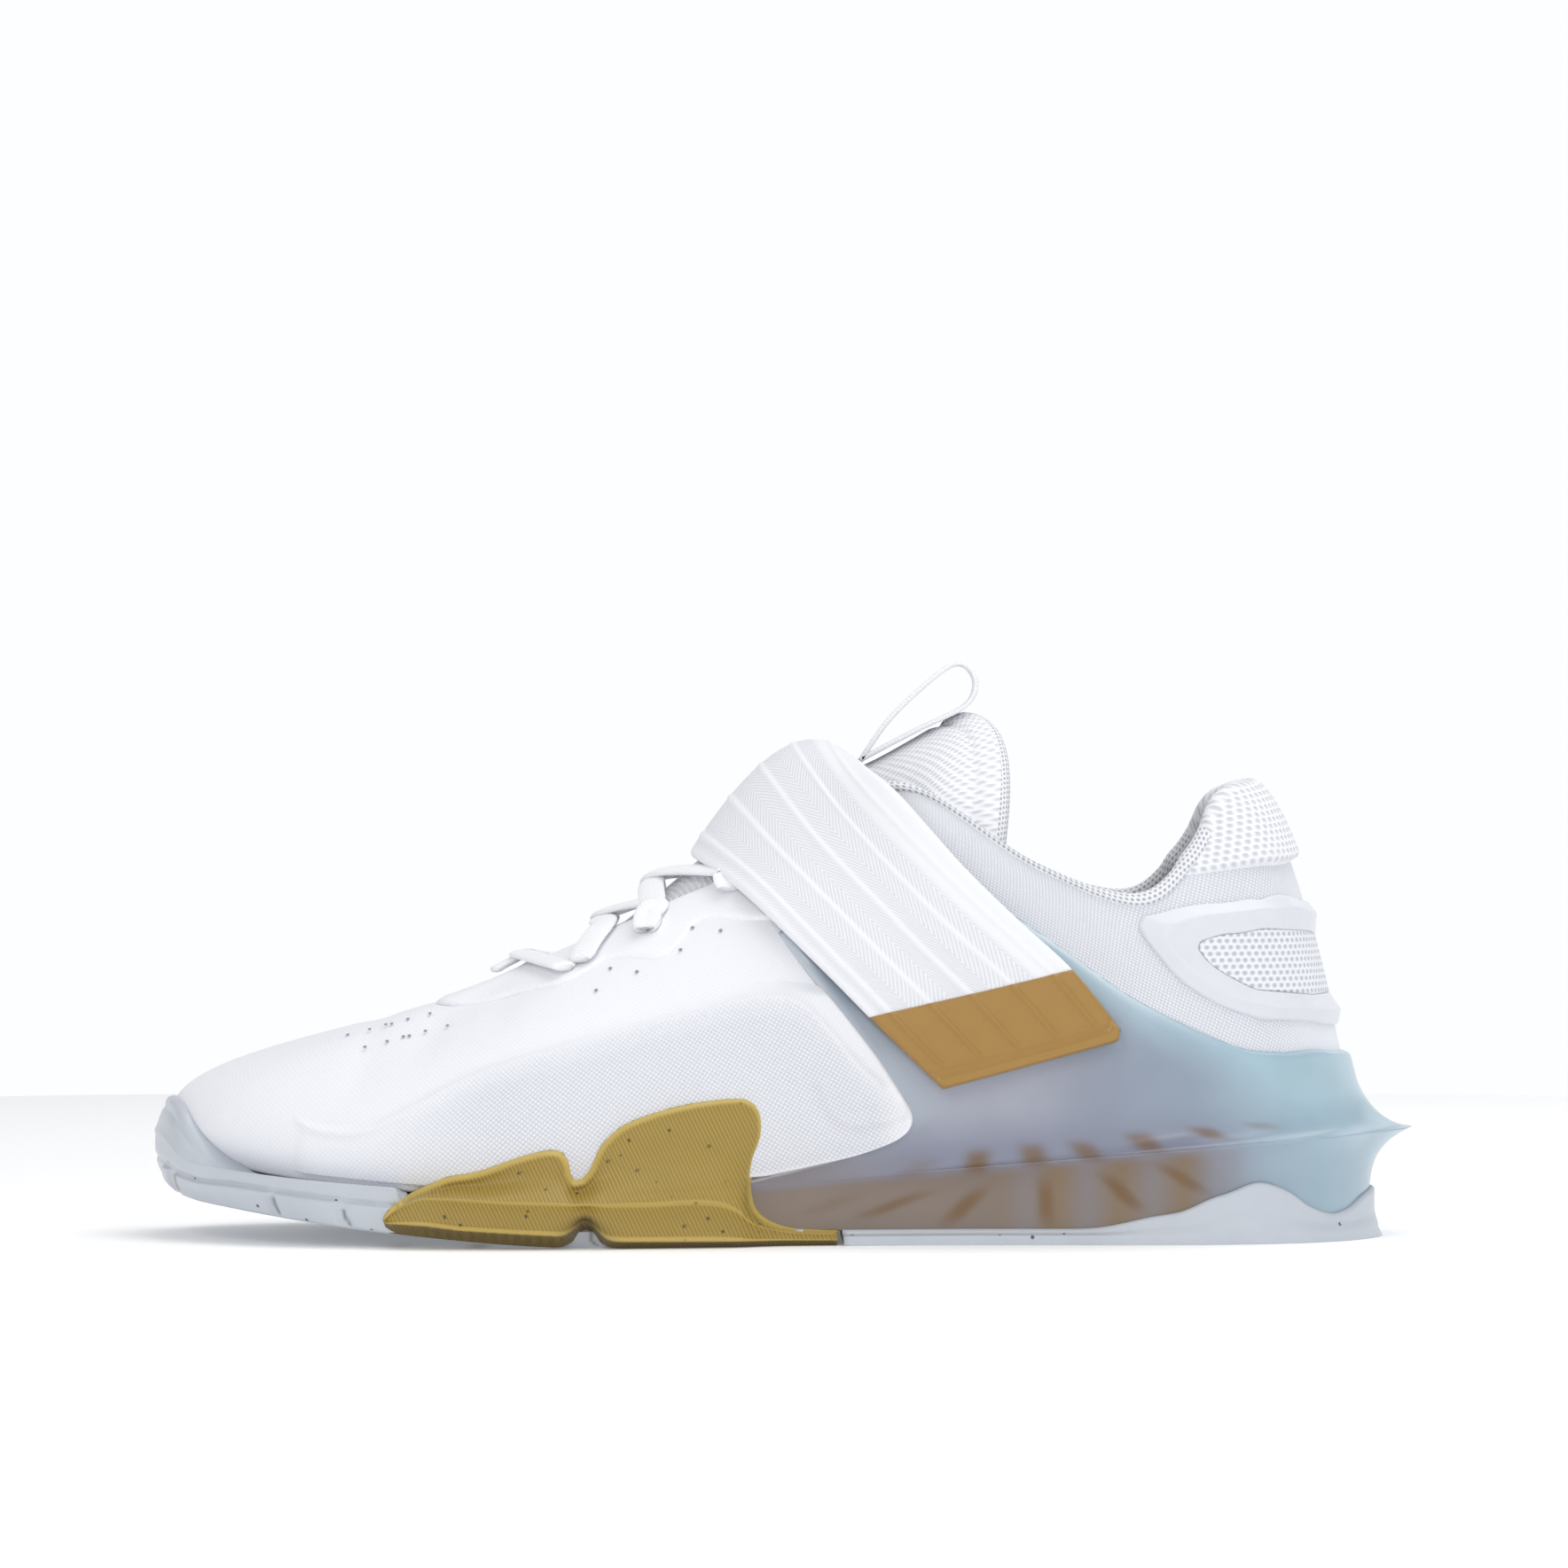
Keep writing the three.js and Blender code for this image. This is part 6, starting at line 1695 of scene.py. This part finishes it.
@dataclass
class Laces:
    """The flat-oval laces: one bar at the front, then crossings under the strap."""

    last: Last
    width: float = 6.6
    thickness: float = 1.9
    film: float = 1
    # outer end x z, crest x share, crest rise
    eyelets: tuple = ((-47, 64.6, -0.185, 0.585), (-31.8, 71.9, -0.125, 0.70), (-12.2, 81.4, -0.095, 0.755))

    def strand(self, name: str, points: np.ndarray) -> bpy.types.Object:
        """One strand swept along a smooth line, with tucked ends."""
        line = spline(points, np.linspace(0, len(points) - 1, 90))
        core = points[len(points) // 2] + np.array([-0.3, 0, 1]) * -0.32 * self.last.ball_width
        ahead = unit(np.gradient(line, axis=0))
        aside = unit(np.cross(ahead, line - core))
        above = unit(np.cross(aside, ahead))
        turn = np.linspace(0, 2 * np.pi, 29)[None]
        along = arc(line)[:, None]
        to_end = np.minimum(along, along[-1] - along)
        half = self.width / 2 * (0.35 + 0.65 * rounding(to_end + 0.3, 2.4))
        thick = self.thickness / 2 * (0.5 + 0.5 * rounding(to_end + 0.2, 1.6))
        cosine = np.sign(np.cos(turn)) * np.abs(np.cos(turn)) ** 0.75
        rise = thick * np.sin(turn) - 0.9 * (1 - rounding(to_end + 0.2, 2.2))
        points = (line[:, None] + aside[:, None] * (half * cosine)[..., None]
                  + above[:, None] * rise[..., None])
        points[:, -1] = points[:, 0]
        uv = np.stack([along + 0 * turn, turn / (2 * np.pi) * 12 + 0 * along], axis=-1)
        return lay(name, points, uv)

    def build(self) -> None:
        """Builds and dresses the laces."""
        last = self.last
        lift = self.film + 2 * last.clearance + self.thickness / 2
        crest = last.side([(row[2], row[3]) for row in self.eyelets])
        cord = WovenCloth("braided lace cord", "#fbfbfc", roughness=0.75, sheen=0.2, pitch=0.8, turn=45.0,
                          gap="#eceef2", depth=0.00006).material()

        found = last.find(np.array(self.eyelets)[:, :2])

        def path(low: int, high: int, turned: bool, raised: float) -> np.ndarray:
            def on(row: int, other: bool, share: float) -> np.ndarray:
                station, level = found[row]
                return last.skin(np.array(ROUND - station if other else station),
                                 level + (1 - level) * np.array(share), np.array(lift))

            top = (crest[low] + crest[high]) / 2
            climb = (0.0, 0.5, 1.0)
            return np.stack([*(on(low, turned, share) for share in climb), [top[0], 0, top[1] + raised],
                             *(on(high, not turned, share) for share in climb[::-1])])

        over = self.thickness * 0.6
        front = last.find(np.array([(-50.5, 62.8), (-58.0, 66.0), (-64.0, 68.0)]))
        middle = last.skin(np.array(0.0), np.array(0.93), np.array(lift))
        bar = np.concatenate([last.skin(front[:, 0], front[:, 1], lift + np.zeros(3)),
                              [middle * np.array([1, 0, 1])],
                              last.skin(ROUND - front[::-1, 0], front[::-1, 1], lift + np.zeros(3))])
        set_piece(self.strand("lace_bar", bar), cord, "lace_cord", "laces")
        crossings = (path(0, 1, False, 0), path(0, 1, True, over),
                     path(1, 2, False, 0), path(1, 2, True, over))
        for number, points in enumerate(crossings, 1):
            set_piece(self.strand(f"lace_cross_{number}", points), cord, "lace_cord")


@dataclass
class Insole:
    """The sock liner on the foot bed."""

    last: Last
    thickness: float = 3.5

    def build(self) -> None:
        """Builds and dresses the sock liner, slightly dished."""
        last = self.last
        station = np.linspace(0, ROUND, 241)[:, None]
        share = np.linspace(0, 1, 24)[None]
        rim = last.around(station, -(last.upper_wall + 2 * last.clearance), 0.0)
        spine = last.spine(station)
        top = rim + (spine - rim) * share[..., None]
        dish = 1.4 * smooth(0, 0.45, share) - 0.9 * (1 - rounding(share * 20, 2.0))
        top[..., 2] = last.bed(top[..., 0]) + last.clearance + self.thickness - dish * 0.6
        low = top[:, ::-8].copy()
        low[..., 2] = last.bed(low[..., 0]) + last.clearance
        points = np.concatenate([top, low, top[:, :1]], axis=1)
        uv = points[..., :2].copy()
        cloth = WovenCloth("sock liner cloth", "#dfe1e7", roughness=0.9, pitch=1.6, turn=0.0, gap="#b9bdc8")
        set_piece(lay("sock_liner", points, uv), cloth.material(), "insole_foam", "insole")


@dataclass
class Studio:
    """Pale floor, soft lights and the camera at the photograph's angle."""

    distance: float = 1.7
    height: float = 0.1077
    frame_width: float = 0.3748
    floor_radius: float = 0.8
    # name, place, size, power, tint
    lights: tuple = (("overhead", (0.4, -0.05, 1.45), 1.4, 12.0, "#ffffff"),
                     ("front", (-0.55, -1.3, 0.95), 0.5, 4.6, "#fffdf8"),
                     ("fill", (0.75, -1.15, 0.85), 0.6, 2.0, "#ffffff"),
                     ("streak", (0.25, -1.2, 0.25), 0.09, 0.35, "#ffffff"),
                     ("behind", (0.6, 0.9, 0.7), 0.6, 0.9, "#f4f8ff"))

    def sky(self) -> None:
        """A white band round the horizon below a dimmer sky."""
        world = bpy.data.worlds.new("studio")
        bpy.context.scene.world = world
        world.use_nodes = True
        tree = world.node_tree
        place = add_node(tree, "ShaderNodeTexCoord")
        parts = add_node(tree, "ShaderNodeSeparateXYZ", {"Vector": place.outputs["Generated"]})
        level = add_node(tree, "ShaderNodeMapRange", {"Value": parts.outputs["Z"], "From Min": 0.14,
                                                      "From Max": 0.4, "To Min": 1.02, "To Max": 0.42})
        shade = tree.nodes["Background"]
        shade.inputs["Color"].default_value = linear("#fbfcff")
        tree.links.new(level.outputs["Result"], shade.inputs["Strength"])

    def build(self) -> None:
        """Places the floor, the lights and the camera."""
        scene = bpy.context.scene
        scene.view_settings.view_transform = "Standard"
        self.sky()
        form = bmesh.new()
        bmesh.ops.create_circle(form, cap_ends=True, segments=96, radius=self.floor_radius)
        mesh = bpy.data.meshes.new("floor")
        form.to_mesh(mesh)
        form.free()
        floor = bpy.data.objects.new("floor", mesh)
        scene.collection.objects.link(floor)
        mesh.materials.append(Finish("pale floor", "#ffffff", roughness=0.8, glow=0.12).material())
        for name, place, size, power, tint in self.lights:
            light = bpy.data.lights.new(name, "AREA")
            light.energy, light.size, light.color = power, size, linear(tint)[:3]
            lamp = bpy.data.objects.new(name, light)
            lamp.location = place
            aim = np.array([0, 0, 0.05]) - np.array(place)
            lamp.rotation_euler = (math.acos(-aim[2] / np.linalg.norm(aim)), 0,
                                   math.atan2(aim[1], aim[0]) - math.pi / 2)
            scene.collection.objects.link(lamp)
        camera = bpy.data.objects.new("camera", bpy.data.cameras.new("camera"))
        camera.location = (0, -self.distance, self.height)
        camera.rotation_euler = (math.pi / 2, 0, 0)
        camera.data.sensor_width = 36
        camera.data.lens = 36 * self.distance / self.frame_width
        scene.collection.objects.link(camera)
        scene.camera = camera


def main() -> None:
    """Builds every part in order."""
    logging.basicConfig(level=logging.INFO, format="%(message)s")
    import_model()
    last = Last()
    Studio().build()
    for part in (Upper, ClearHeel, Rubbers, Tongue, Collar, Strap, Laces, Insole):
        part(last).build()


if __name__ == "__main__":
    main()
